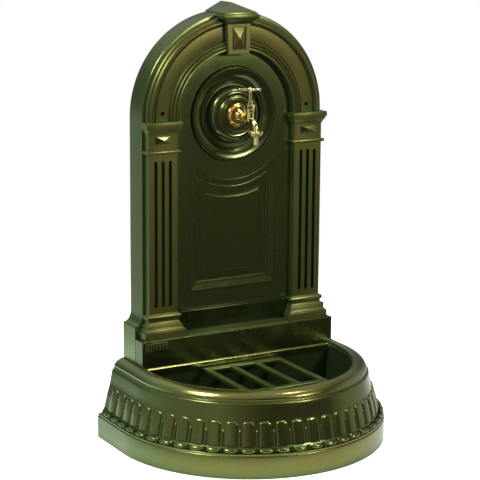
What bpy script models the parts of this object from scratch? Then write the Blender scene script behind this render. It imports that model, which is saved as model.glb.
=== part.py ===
"""Cast wall fountain: arched back casing with pilasters, a D-shaped basin and a brass tap.

Metres, +Z up. X runs along the wall, +Y goes into the wall and -Y faces the viewer.
The origin is on the floor under the middle of the fountain.
"""
import math

import bmesh
import bpy

# ---- gaps -------------------------------------------------------------------
GAP = 0.0003                      # between pieces that touch
SPINDLE_CLEARANCE = 0.0005        # around the turning spindle

# ---- overall ----------------------------------------------------------------
BASE_RADIUS = 0.317               # plan radius of the basin's base ring, half its width
BASIN_TO_WALL = 0.133             # from the centre of the basin's round front to the wall
CASING_DEPTH = 0.061              # wall to the flat field of the back casing
CASING_HALF_WIDTH = 0.231         # also the outer radius of the arch
SPRINGING_HEIGHT = 0.7345         # centre of the arch, the boss and the tap
WALL_Y = (BASE_RADIUS + BASIN_TO_WALL) / 2
BASIN_CENTRE_Y = WALL_Y - BASIN_TO_WALL
FIELD_Y = WALL_Y - CASING_DEPTH

# ---- basin ------------------------------------------------------------------
BASE_RING_HEIGHT = 0.052
BASE_RING_WALL = 0.012
FRIEZE_HEIGHT = 0.1057            # from the base ring to the groove under the rim
FRIEZE_TOP_SET_BACK = 0.0385      # how far the frieze leans in at its top
BEAD_HEIGHT = 0.018
BEAD_SET_BACK = 0.003
FRIEZE_FOOT_SET_BACK = 0.012      # from the bead to the foot of the leaning frieze
TONGUE_COUNT = 25                 # round the half circle, one of them at the front
TONGUE_WIDTH = 0.0285
TONGUE_HEIGHT = 0.050
TONGUE_RISE = 0.0022              # stands out from the frieze
TONGUE_EDGE = 0.0015              # width of its bevelled edge
TONGUE_CORNER = 0.008             # radius of its upper corners
TONGUE_ROOT = 0.002               # buried in the frieze
RIM_HEIGHT = 0.022
RIM_SET_BACK = 0.0435             # base ring to the widest line of the rim
RIM_ROLL_WIDTH = 0.035            # widest line of the rim to its inner lip
RIM_CREST_WIDTH = 0.0135          # inner lip to the top of the roll
LIP_DROP = 0.0095                 # top of the roll down to the inner lip
SHELF_DROP = 0.0028               # top of the roll down to the shelf under the plinth
BOWL_DRAFT = 0.010                # how much narrower the bowl is at its floor
BASIN_FLOOR = 0.008
BACK_POCKET_WALL = 0.010
ARC_SEGMENTS = 2 * TONGUE_COUNT

# ---- bucket grille ----------------------------------------------------------
GRILLE_BAR_WIDTH = 0.016
GRILLE_BAR_COUNT = 4
GRILLE_PITCH = 0.0635
GRILLE_THICKNESS = 0.010
GRILLE_DROP = 0.0083              # grille top below the inner lip of the rim
GRILLE_BACK_GAP = 0.0075          # basin's back wall to the rear cross bar
GRILLE_LENGTH = 0.212
LUG_WIDTH = 0.030
LUG_HEIGHT = 0.012

# ---- plinth -----------------------------------------------------------------
PLINTH_HALF_WIDTH = 0.250
PLINTH_PROJECTION = 0.037         # in front of the casing's field
PLINTH_HEIGHT = 0.062
LEDGE_HEIGHT = 0.0055
LIP_AT_PLINTH = 0.0025            # ledge of the basin in front of the plinth
SEAT_DEPTH = 0.001                # the plinth sits this far into the rim's shelf
FOOT_HEIGHT = 0.0872              # square foot of the casing behind the plinth
FOOT_COVE_HEIGHT = 0.028

# ---- pilasters --------------------------------------------------------------
PILASTER_X = 0.1875
SHAFT_HALF_WIDTH = 0.036
SHAFT_PROJECTION = 0.018
BASE_BLOCK_HALF_WIDTH = 0.0523
BASE_BLOCK_PROJECTION = 0.0305
BASE_BLOCK_HEIGHT = 0.0175
BASE_MOULDING_HEIGHT = 0.038
BASE_MOULDING_HALF_WIDTH = 0.0427
SHAFT_HEIGHT = 0.3635
ASTRAGAL_HEIGHT = 0.0078
ASTRAGAL_HALF_WIDTH = 0.0423
NECK_HEIGHT = 0.036
CAPITAL_HALF_WIDTH = 0.045
CAPITAL_PROJECTION = 0.029
SHAFT_FLUTE_COUNT = 3
SHAFT_FLUTE_PITCH = 0.0179
SHAFT_FLUTE_WIDTH = 0.0072
SHAFT_FLUTE_DEPTH = 0.004
SHAFT_FLUTE_MARGIN = 0.0145       # plain shaft above and below each flute
DIAMOND_HALF_WIDTH = 0.0203
DIAMOND_HALF_HEIGHT = 0.0093
DIAMOND_PROJECTION = 0.008

# ---- dado, panel and boss ---------------------------------------------------
DADO_PROJECTION = 0.004
DADO_HEIGHT = 0.050
PANEL_HALF_WIDTH = 0.110
PANEL_BOTTOM_ABOVE_PLINTH = 0.094
PANEL_ARC_RADIUS = 0.149          # hollow top of the panel, about the boss
PANEL_SINK = 0.010
FRAME_WIDTH = 0.020
FIELD_MARGIN = 0.037
FIELD_BEVEL = 0.004
FIELD_RISE = 0.005
CASING_FRONT_WALL = 0.016
CASING_SIDE_WALL = 0.008
BOSS_RADIUS = 0.1104
BOSS_SINK = 0.010
BOSS_RING_INNER = 0.0745
BOSS_TORUS_INNER = 0.0460
BOSS_CENTRE_PROJECTION = 0.020

# ---- arch and keystone ------------------------------------------------------
ARCHIVOLT_OUTER = 0.224
ARCHIVOLT_WIDTH = 0.077
ARCHIVOLT_PROJECTION = 0.019
FIXING_HOLE_RADIUS = 0.0045
FIXING_HOLE_RISE = 0.0135
KEYSTONE_HALF_TOP = 0.0303
KEYSTONE_HALF_BOTTOM = 0.0269
KEYSTONE_PROJECTION = 0.025
KEYSTONE_DROP = 0.0095            # below the archivolt's inner edge
KEYSTONE_TOP_ABOVE_SPRINGING = 0.2052
KEY_PANEL_HALF_WIDTH = 0.0175
KEY_PANEL_HALF_HEIGHT = 0.0265
KEY_PANEL_DEPTH = 0.002
KEY_DIAMOND_PROJECTION = 0.006
CAP_HALF_WIDTH = 0.0454
CAP_PROJECTION = 0.0373
CAP_MOULDING_HEIGHT = 0.025
CAP_ROOF_HEIGHT = 0.020
CAP_RIDGE_HALF_WIDTH = 0.0015
CAP_RIDGE_LENGTH = 0.045

# ---- name plate -------------------------------------------------------------
PLATE_LENGTH = 0.055
PLATE_HEIGHT = 0.017
PLATE_THICKNESS = 0.0015
PLATE_FROM_EDGE = 0.009
PLATE_FROM_TOP = 0.005

# ---- tap --------------------------------------------------------------------
ROSETTE_RADIUS = 0.0272
ROSETTE_THICKNESS = 0.009
TAP_REACH = 0.0555                # boss face to the spindle's axis
INLET_RADIUS = 0.0075
COLLAR_RADIUS = 0.0125
COLLAR_THICKNESS = 0.009
VALVE_RADIUS = 0.0095
VALVE_BOTTOM = 0.010              # below the tap's inlet axis
VALVE_TOP = 0.0215                # above the tap's inlet axis
BONNET_RADIUS = 0.0100
BONNET_HEIGHT = 0.010
GLAND_RADIUS = 0.0060
GLAND_HEIGHT = 0.008
SPINDLE_RADIUS = 0.0030
SPINDLE_RISE = 0.024              # gland top to the underside of the T-bar
SPINDLE_INSERTION = 0.006         # length of spindle inside the gland
HANDLE_LENGTH = 0.0434
HANDLE_RADIUS = 0.0036
HUB_RADIUS = 0.0055
HUB_HEIGHT = 0.011
HANDLE_ANGLE = math.radians(-23.0)
SPOUT_REACH = 0.026               # spindle axis to the spout's outlet axis
SPOUT_DROP = 0.0235               # inlet axis to the top of the union nut
SPOUT_RADIUS = 0.0068
UNION_RADIUS = 0.0165
UNION_HEIGHT = 0.013
HOSE_TAIL_RADIUS = 0.0068
HOSE_TAIL_BORE = 0.0045
HOSE_TAIL_LENGTH = 0.020

# ---- levels that follow from the sizes above --------------------------------
FRIEZE_TOP_Z = BASE_RING_HEIGHT + GAP + FRIEZE_HEIGHT
RIM_RADIUS = BASE_RADIUS - RIM_SET_BACK
TONGUE_RADIUS = BASE_RADIUS - BEAD_SET_BACK - FRIEZE_FOOT_SET_BACK
RIM_BOTTOM_Z = FRIEZE_TOP_Z + GAP
RIM_TOP_Z = RIM_BOTTOM_Z + RIM_HEIGHT
LIP_Z = RIM_TOP_Z - LIP_DROP
SHELF_Z = RIM_TOP_Z - SHELF_DROP
LIP_RADIUS = RIM_RADIUS - RIM_ROLL_WIDTH
BASIN_FLOOR_Z = BASE_RING_HEIGHT + GAP + BASIN_FLOOR
PLINTH_Y = FIELD_Y - PLINTH_PROJECTION
PLINTH_BOTTOM_Z = SHELF_Z - SEAT_DEPTH + GAP
PLINTH_TOP_Z = PLINTH_BOTTOM_Z + PLINTH_HEIGHT
FOOT_TOP_Z = PLINTH_BOTTOM_Z + FOOT_HEIGHT
CASING_BOTTOM_Z = FOOT_TOP_Z + FOOT_COVE_HEIGHT + GAP
BOWL_BACK_Y = PLINTH_Y - LIP_AT_PLINTH
SHAFT_Y = FIELD_Y - SHAFT_PROJECTION
SHAFT_BOTTOM_Z = PLINTH_TOP_Z + BASE_BLOCK_HEIGHT + BASE_MOULDING_HEIGHT + 3 * GAP
ASTRAGAL_Z = SHAFT_BOTTOM_Z + SHAFT_HEIGHT + GAP
NECK_Z = ASTRAGAL_Z + ASTRAGAL_HEIGHT + GAP
CAPITAL_Z = NECK_Z + NECK_HEIGHT + GAP
CAPITAL_HEIGHT = SPRINGING_HEIGHT - 0.0045 - CAPITAL_Z
PANEL_BOTTOM_Z = PLINTH_TOP_Z + PANEL_BOTTOM_ABOVE_PLINTH
ARCHIVOLT_INNER = ARCHIVOLT_OUTER - ARCHIVOLT_WIDTH
KEYSTONE_TOP_Z = SPRINGING_HEIGHT + KEYSTONE_TOP_ABOVE_SPRINGING
KEYSTONE_BOTTOM_Z = SPRINGING_HEIGHT + ARCHIVOLT_INNER - KEYSTONE_DROP
BOSS_FACE_Y = FIELD_Y - BOSS_CENTRE_PROJECTION
SPINDLE_Y = BOSS_FACE_Y - TAP_REACH
GLAND_Z = SPRINGING_HEIGHT + VALVE_TOP + 2 * GAP + BONNET_HEIGHT
HANDLE_Z = GLAND_Z + GLAND_HEIGHT + SPINDLE_RISE
SPOUT_Y = SPINDLE_Y - SPOUT_REACH
UNION_TOP_Z = SPRINGING_HEIGHT - SPOUT_DROP


# ---- scene helpers ----------------------------------------------------------
def clear_scene():
    for obj in list(bpy.data.objects):
        bpy.data.objects.remove(obj, do_unlink=True)


def make_collection(name):
    collection = bpy.data.collections.new(name)
    bpy.context.scene.collection.children.link(collection)
    return collection


def make_material(name, color, metallic, roughness):
    material = bpy.data.materials.new(name)
    material.use_nodes = True
    shader = material.node_tree.nodes["Principled BSDF"]
    shader.inputs["Base Color"].default_value = (*color, 1.0)
    shader.inputs["Metallic"].default_value = metallic
    shader.inputs["Roughness"].default_value = roughness
    return material


clear_scene()
PARTS = make_collection("wall_fountain")
CUTTERS = make_collection("cutters")
PAINT = make_material("green_bronze_paint", (0.10, 0.11, 0.045), 0.6, 0.35)
BRASS = make_material("polished_brass", (0.80, 0.62, 0.28), 1.0, 0.18)


def add_piece(name, bm, material=PAINT, smooth=False):
    """Store a bmesh as a named piece of the fountain."""
    bmesh.ops.recalc_face_normals(bm, faces=bm.faces)
    mesh = bpy.data.meshes.new(name)
    bm.to_mesh(mesh)
    bm.free()
    mesh.materials.append(material)
    if smooth:
        mesh.shade_smooth()
        mesh.set_sharp_from_angle(angle=math.radians(35))
    obj = bpy.data.objects.new(name, mesh)
    PARTS.objects.link(obj)
    return obj


def add_cutter(name, bm):
    """Store a bmesh as a cutter, which is drawn as wire and never rendered."""
    bmesh.ops.recalc_face_normals(bm, faces=bm.faces)
    mesh = bpy.data.meshes.new(name)
    bm.to_mesh(mesh)
    bm.free()
    obj = bpy.data.objects.new(name, mesh)
    obj.hide_render = True
    obj.display_type = "WIRE"
    CUTTERS.objects.link(obj)
    return obj


def boolean(obj, cutter, operation="DIFFERENCE"):
    modifier = obj.modifiers.new(cutter.name, "BOOLEAN")
    modifier.operation = operation
    modifier.solver = "EXACT"
    modifier.object = cutter


# ---- shape helpers ----------------------------------------------------------
def add_box(bm, low, high):
    """Add an axis-aligned box between two corners."""
    size = [b - a for a, b in zip(low, high)]
    middle = [(a + b) / 2 for a, b in zip(low, high)]
    verts = bmesh.ops.create_cube(bm, size=1.0)["verts"]
    bmesh.ops.scale(bm, vec=size, verts=verts)
    bmesh.ops.translate(bm, vec=middle, verts=verts)


def box(low, high):
    bm = bmesh.new()
    add_box(bm, low, high)
    return bm


def skin_levels(bm, levels):
    """Join rings of points that match one to one, and close both ends."""
    rings = [[bm.verts.new(point) for point in ring] for ring in levels]
    count = len(rings[0])
    for lower, upper in zip(rings, rings[1:]):
        for i in range(count):
            j = (i + 1) % count
            bm.faces.new((lower[i], lower[j], upper[j], upper[i]))
    bm.faces.new(rings[0])
    bm.faces.new(rings[-1])


def basin_outline(radius, z, back_y=WALL_Y):
    """Plan of the basin: a half circle with straight sides back to the wall."""
    points = []
    for i in range(ARC_SEGMENTS + 1):
        angle = math.pi * i / ARC_SEGMENTS
        points.append((-radius * math.cos(angle), BASIN_CENTRE_Y - radius * math.sin(angle), z))
    return points + [(radius, back_y, z), (-radius, back_y, z)]


def basin_stack(profile, back_y=WALL_Y):
    """A solid whose plan at each (radius, z) is the basin's outline."""
    bm = bmesh.new()
    skin_levels(bm, [basin_outline(radius, z, back_y) for radius, z in profile])
    return bm


def rectangle_stack(centre_x, levels, back_y=FIELD_Y - GAP):
    """Stacked rectangles (half width, projection from the field, z) against the casing."""
    bm = bmesh.new()
    rings = []
    for half, projection, z in levels:
        front = FIELD_Y - projection
        rings.append([(centre_x - half, front, z), (centre_x + half, front, z),
                      (centre_x + half, back_y, z), (centre_x - half, back_y, z)])
    skin_levels(bm, rings)
    return bm


def xz_prism(outline, front_y, back_y):
    """Extrude an outline in the wall's plane from front to back."""
    bm = bmesh.new()
    skin_levels(bm, [[(x, y, z) for x, z in outline] for y in (front_y, back_y)])
    return bm


def diamond_point(centre, half_width, half_height, projection):
    """A low four-sided pyramid whose base faces the wall."""
    x, y, z = centre
    bm = bmesh.new()
    base = [bm.verts.new((x + sx * half_width, y, z + sz * half_height))
            for sx, sz in ((-1, -1), (1, -1), (1, 1), (-1, 1))]
    apex = bm.verts.new((x, y - projection, z))
    bm.faces.new(base)
    for i in range(4):
        bm.faces.new((base[i], base[(i + 1) % 4], apex))
    return bm


def turned(name, profile, location, material=PAINT, segments=64, facing_front=True):
    """Turn a closed profile of (radius, height), listed up its inner side and down its outer one."""
    mesh = bpy.data.meshes.new(name)
    mesh.from_pydata([(r, 0.0, h) for r, h in profile],
                     [(i, (i + 1) % len(profile)) for i in range(len(profile))], [])
    mesh.materials.append(material)
    obj = bpy.data.objects.new(name, mesh)
    obj.location = location
    obj.rotation_euler = (math.pi / 2 if facing_front else 0.0, 0.0, 0.0)
    screw = obj.modifiers.new("turn", "SCREW")
    screw.steps = segments
    screw.render_steps = segments
    screw.use_merge_vertices = True
    screw.merge_threshold = 0.00001
    PARTS.objects.link(obj)
    return obj


def turned_mesh(name, points, location, material=BRASS, segments=32, facing_front=False):
    """A solid turned piece: its open profile is spun so that the axis is filled."""
    bm = bmesh.new()
    rings = []
    for radius, height in points:
        rings.append([(radius * math.cos(2 * math.pi * i / segments),
                       radius * math.sin(2 * math.pi * i / segments), height) for i in range(segments)])
    skin_levels(bm, rings)
    obj = add_piece(name, bm, material, smooth=True)
    obj.location = location
    obj.rotation_euler = (math.pi / 2 if facing_front else 0.0, 0.0, 0.0)
    return obj


# ---- basin ------------------------------------------------------------------
def build_base_ring():
    chamfer = 0.003
    outer = basin_stack([(BASE_RADIUS, 0.0), (BASE_RADIUS, BASE_RING_HEIGHT - chamfer),
                         (BASE_RADIUS - chamfer, BASE_RING_HEIGHT)])
    ring = add_piece("base_ring", outer)
    inner_radius = BASE_RADIUS - BASE_RING_WALL
    hollow = basin_stack([(inner_radius, -0.01), (inner_radius, BASE_RING_HEIGHT + 0.01)],
                         WALL_Y - BASE_RING_WALL)
    boolean(ring, add_cutter("base_ring_hollow", hollow))


def frieze_radius(z):
    """Outer radius of the leaning frieze at height z."""
    share = (z - BASE_RING_HEIGHT - BEAD_HEIGHT) / (FRIEZE_HEIGHT - BEAD_HEIGHT)
    bottom = TONGUE_RADIUS
    top = BASE_RADIUS - FRIEZE_TOP_SET_BACK
    return bottom + (top - bottom) * share ** 0.9 if share > 0 else bottom


def build_basin_wall():
    bottom = BASE_RING_HEIGHT + GAP
    bead = BASE_RADIUS - BEAD_SET_BACK
    profile = [(bead, bottom), (bead, bottom + 0.006), (bead - 0.004, bottom + 0.012),
               (bead - 0.010, bottom + 0.016)]
    steps = 5
    for i in range(steps + 1):
        z = bottom + BEAD_HEIGHT + (FRIEZE_HEIGHT - BEAD_HEIGHT) * i / steps
        profile.append((frieze_radius(z - GAP), z))
    wall = add_piece("basin_wall", basin_stack(profile))
    bowl = basin_stack([(LIP_RADIUS - BOWL_DRAFT, BASIN_FLOOR_Z), (LIP_RADIUS, FRIEZE_TOP_Z + 0.01)],
                       BOWL_BACK_Y)
    boolean(wall, add_cutter("bowl_hollow", bowl))
    pocket = box((-PLINTH_HALF_WIDTH, BOWL_BACK_Y + BACK_POCKET_WALL, BASE_RING_HEIGHT - 0.01),
                 (PLINTH_HALF_WIDTH, WALL_Y - BACK_POCKET_WALL, FRIEZE_TOP_Z - BACK_POCKET_WALL))
    boolean(wall, add_cutter("back_pocket", pocket))
    boolean(wall, add_cutter("frieze_tongues", frieze_tongues()), "UNION")
    boolean(wall, add_cutter("grille_lugs", grille_lugs()), "UNION")


def frieze_point(along, z, out):
    """Point on the frieze: along its arc from the front centre, at height z, standing out."""
    quarter = math.pi / 2
    turn = along / TONGUE_RADIUS
    radius = frieze_radius(z) + out
    if abs(turn) <= quarter:
        return radius * math.sin(turn), BASIN_CENTRE_Y - radius * math.cos(turn), z
    side = math.copysign(1.0, turn)
    return side * radius, BASIN_CENTRE_Y + (abs(turn) - quarter) * TONGUE_RADIUS, z


def tongue_outline(inset):
    """Half width and height pairs of a tongue: square at its foot, rounded at its head."""
    half = TONGUE_WIDTH / 2 - inset
    low = BASE_RING_HEIGHT + BEAD_HEIGHT
    high = low + TONGUE_HEIGHT - inset
    corner = TONGUE_CORNER - inset
    steps = 3
    head = [(half - corner + corner * math.sin(math.pi / 2 * i / steps),
             high - corner + corner * math.cos(math.pi / 2 * i / steps)) for i in range(steps + 1)]
    right = head + [(half, low)]
    return right + [(-across, z) for across, z in reversed(right)]


def frieze_tongues():
    """Raised tongues, evenly spaced round the half circle and on along both straight sides."""
    pitch = math.pi * TONGUE_RADIUS / TONGUE_COUNT
    extra = int((BASIN_TO_WALL - TONGUE_WIDTH / 2) / pitch + 0.5)
    last = (TONGUE_COUNT - 1) // 2 + extra
    bm = bmesh.new()
    for index in range(-last, last + 1):
        rings = []
        for inset, out in ((0.0, -TONGUE_ROOT), (0.0, TONGUE_RISE / 2), (TONGUE_EDGE, TONGUE_RISE)):
            rings.append([frieze_point(index * pitch + across, z, out)
                          for across, z in tongue_outline(inset)])
        skin_levels(bm, rings)
    return bm


def grille_ends():
    """Back and front of the bucket grille."""
    back = BOWL_BACK_Y - GRILLE_BACK_GAP
    return back, back - GRILLE_LENGTH


def grille_half_width():
    return GRILLE_PITCH * (GRILLE_BAR_COUNT - 1) / 2 + GRILLE_BAR_WIDTH / 2


def grille_lugs():
    """Brackets cast inside the bowl that carry the four corners of the grille."""
    bm = bmesh.new()
    top = LIP_Z - GRILLE_DROP - GRILLE_THICKNESS - GAP
    back, front = grille_ends()
    x = grille_half_width() - LUG_WIDTH / 2
    reach = math.sqrt(LIP_RADIUS ** 2 - (x - LUG_WIDTH / 2) ** 2)
    for side in (-1, 1):
        low_x, high_x = side * x - LUG_WIDTH / 2, side * x + LUG_WIDTH / 2
        add_box(bm, (low_x, back - GRILLE_BAR_WIDTH, top - LUG_HEIGHT),
                (high_x, BOWL_BACK_Y + BACK_POCKET_WALL / 2, top))
        add_box(bm, (low_x, BASIN_CENTRE_Y - reach - BACK_POCKET_WALL / 2, top - LUG_HEIGHT),
                (high_x, front + GRILLE_BAR_WIDTH, top))
    return bm


def build_basin_rim():
    """Rolled rim, with a flat shelf at the back that the plinth stands on."""
    low = RIM_BOTTOM_Z + 0.004
    crest = LIP_RADIUS + RIM_CREST_WIDTH
    profile = [(RIM_RADIUS, RIM_BOTTOM_Z)]
    steps = 7
    for i in range(steps + 1):
        angle = math.pi / 2 * i / steps
        profile.append((crest + (RIM_RADIUS + 0.0005 - crest) * math.cos(angle),
                        low + (RIM_TOP_Z - low) * math.sin(angle)))
    rim = add_piece("basin_rim", basin_stack(profile))
    mouth = LIP_RADIUS + 0.0005
    bowl = basin_stack([(mouth, RIM_BOTTOM_Z - 0.01), (mouth, LIP_Z),
                        (mouth + 0.4 * RIM_CREST_WIDTH, RIM_TOP_Z - 0.3 * LIP_DROP),
                        (crest - 0.001, RIM_TOP_Z + 0.001)], BOWL_BACK_Y)
    boolean(rim, add_cutter("rim_opening", bowl))
    shelf = box((0.001 - crest, BOWL_BACK_Y - 0.01, SHELF_Z), (crest - 0.001, WALL_Y + 0.01, RIM_TOP_Z + 0.01))
    boolean(rim, add_cutter("rim_shelf", shelf))
    seat = box((-PLINTH_HALF_WIDTH - GAP, PLINTH_Y - GAP, SHELF_Z - SEAT_DEPTH),
               (PLINTH_HALF_WIDTH + GAP, WALL_Y + 0.02, RIM_TOP_Z + 0.02))
    boolean(rim, add_cutter("plinth_seat", seat))


def build_bucket_grille():
    top = LIP_Z - GRILLE_DROP
    low = top - GRILLE_THICKNESS
    back, front = grille_ends()
    half = grille_half_width()
    grille = add_piece("bucket_grille", box((-half, back - GRILLE_BAR_WIDTH, low), (half, back, top)))
    bars = bmesh.new()
    for i in range(GRILLE_BAR_COUNT):
        x = (i - (GRILLE_BAR_COUNT - 1) / 2) * GRILLE_PITCH
        add_box(bars, (x - GRILLE_BAR_WIDTH / 2, front, low),
                (x + GRILLE_BAR_WIDTH / 2, back - GRILLE_BAR_WIDTH / 2, top))
    boolean(grille, add_cutter("grille_bars", bars), "UNION")
    cross = box((-half, front, low), (half, front + GRILLE_BAR_WIDTH, top))
    boolean(grille, add_cutter("grille_front_bar", cross), "UNION")


# ---- casing and plinth ------------------------------------------------------
def casing_outline(bottom_z, inset=0.0):
    """Straight flanks and half-round head, seen from the front."""
    half = CASING_HALF_WIDTH - inset
    segments = 32
    head = []
    for i in range(segments + 1):
        angle = math.pi * i / segments
        head.append((half * math.cos(angle), SPRINGING_HEIGHT + half * math.sin(angle)))
    return [(half, bottom_z)] + head + [(-half, bottom_z)]


def foot_outline():
    """Square foot that draws in to the flanks with a hollow curve."""
    steps = 6
    reach = PLINTH_HALF_WIDTH - CASING_HALF_WIDTH
    right = [(PLINTH_HALF_WIDTH, PLINTH_BOTTOM_Z), (PLINTH_HALF_WIDTH, FOOT_TOP_Z)]
    for i in range(1, steps + 1):
        angle = math.pi / 2 * i / steps
        right.append((PLINTH_HALF_WIDTH - reach * math.sin(angle),
                      FOOT_TOP_Z + FOOT_COVE_HEIGHT * (1 - math.cos(angle))))
    return right + [(-x, z) for x, z in reversed(right)]


def panel_outline(inset):
    """The lower panel: square at the foot, hollowed at the top around the boss."""
    half = PANEL_HALF_WIDTH - inset
    radius = PANEL_ARC_RADIUS + inset
    bottom = PANEL_BOTTOM_Z + inset
    start = math.asin(half / radius)
    segments = 16
    arc = []
    for i in range(segments + 1):
        angle = start - 2 * start * i / segments
        arc.append((radius * math.sin(angle), SPRINGING_HEIGHT - radius * math.cos(angle)))
    return [(-half, bottom), (half, bottom)] + arc


def build_casing():
    """Hollow arched casting, open at its back and at its foot."""
    casing = add_piece("casing", xz_prism(casing_outline(CASING_BOTTOM_Z), FIELD_Y, WALL_Y))
    hollow = xz_prism(casing_outline(CASING_BOTTOM_Z - 0.01, CASING_SIDE_WALL),
                      FIELD_Y + CASING_FRONT_WALL, WALL_Y + 0.01)
    boolean(casing, add_cutter("casing_hollow", hollow))
    boolean(casing, add_cutter("panel_pocket", xz_prism(panel_outline(0.0), FIELD_Y - 0.01,
                                                        FIELD_Y + PANEL_SINK)))
    pocket = turned_disc(BOSS_RADIUS, FIELD_Y - 0.01, FIELD_Y + BOSS_SINK, 64)
    boolean(casing, add_cutter("boss_pocket", pocket))
    boolean(casing, add_cutter("casing_fixing_holes", fixing_holes()))


def build_casing_foot():
    foot = add_piece("casing_foot", xz_prism(foot_outline(), FIELD_Y, WALL_Y))
    half = CASING_HALF_WIDTH - CASING_SIDE_WALL
    hollow = box((-half, FIELD_Y + CASING_FRONT_WALL, PLINTH_BOTTOM_Z + CASING_SIDE_WALL),
                 (half, WALL_Y + 0.01, CASING_BOTTOM_Z + 0.01))
    boolean(foot, add_cutter("casing_foot_hollow", hollow))


def turned_disc(radius, front_y, back_y, segments, centre=(0.0, SPRINGING_HEIGHT)):
    """A plain disc about an axis that points out of the wall."""
    outline = [(centre[0] + radius * math.cos(2 * math.pi * i / segments),
                centre[1] + radius * math.sin(2 * math.pi * i / segments)) for i in range(segments)]
    return xz_prism(outline, front_y, back_y)


def fixing_holes():
    """Two screw holes through the feet of the archivolt and the casing."""
    bm = bmesh.new()
    z = SPRINGING_HEIGHT + FIXING_HOLE_RISE
    x = ARCHIVOLT_OUTER - ARCHIVOLT_WIDTH / 2
    for side in (-1, 1):
        outline = [(side * x + FIXING_HOLE_RADIUS * math.cos(math.pi * i / 8),
                    z + FIXING_HOLE_RADIUS * math.sin(math.pi * i / 8)) for i in range(16)]
        levels = [[(px, y, pz) for px, pz in outline] for y in (FIELD_Y - 0.05, WALL_Y - 0.02)]
        skin_levels(bm, levels)
    return bm


def build_plinth():
    bm = box((-PLINTH_HALF_WIDTH, PLINTH_Y, PLINTH_BOTTOM_Z),
             (PLINTH_HALF_WIDTH, FIELD_Y - GAP, PLINTH_TOP_Z))
    add_piece("plinth", bm)
    half = PILASTER_X - BASE_BLOCK_HALF_WIDTH - GAP
    front = FIELD_Y - BASE_BLOCK_PROJECTION
    back = FIELD_Y - DADO_PROJECTION - GAP
    low = PLINTH_TOP_Z + GAP
    outline = [(front, low), (back, low), (back, low + LEDGE_HEIGHT), (front, low + 0.001)]
    ledge = bmesh.new()
    skin_levels(ledge, [[(x, y, z) for y, z in outline] for x in (-half, half)])
    add_piece("plinth_ledge", ledge)
    dado_low = PLINTH_TOP_Z + GAP
    dado = rectangle_stack(0.0, [(half, DADO_PROJECTION, dado_low),
                                 (half, DADO_PROJECTION, dado_low + DADO_HEIGHT),
                                 (half, 0.001, dado_low + DADO_HEIGHT + 0.0055)])
    add_piece("dado_plate", dado)


def build_name_plate():
    left = -PLINTH_HALF_WIDTH + PLATE_FROM_EDGE
    top = PLINTH_TOP_Z - PLATE_FROM_TOP
    back = PLINTH_Y - GAP
    plate = add_piece("name_plate", box((left, back - PLATE_THICKNESS, top - PLATE_HEIGHT),
                                        (left + PLATE_LENGTH, back, top)))
    border = 0.002
    recess = box((left + border, back - PLATE_THICKNESS - 0.01, top - PLATE_HEIGHT + border),
                 (left + PLATE_LENGTH - border, back - PLATE_THICKNESS / 2, top - border))
    boolean(plate, add_cutter("name_plate_recess", recess))


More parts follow.
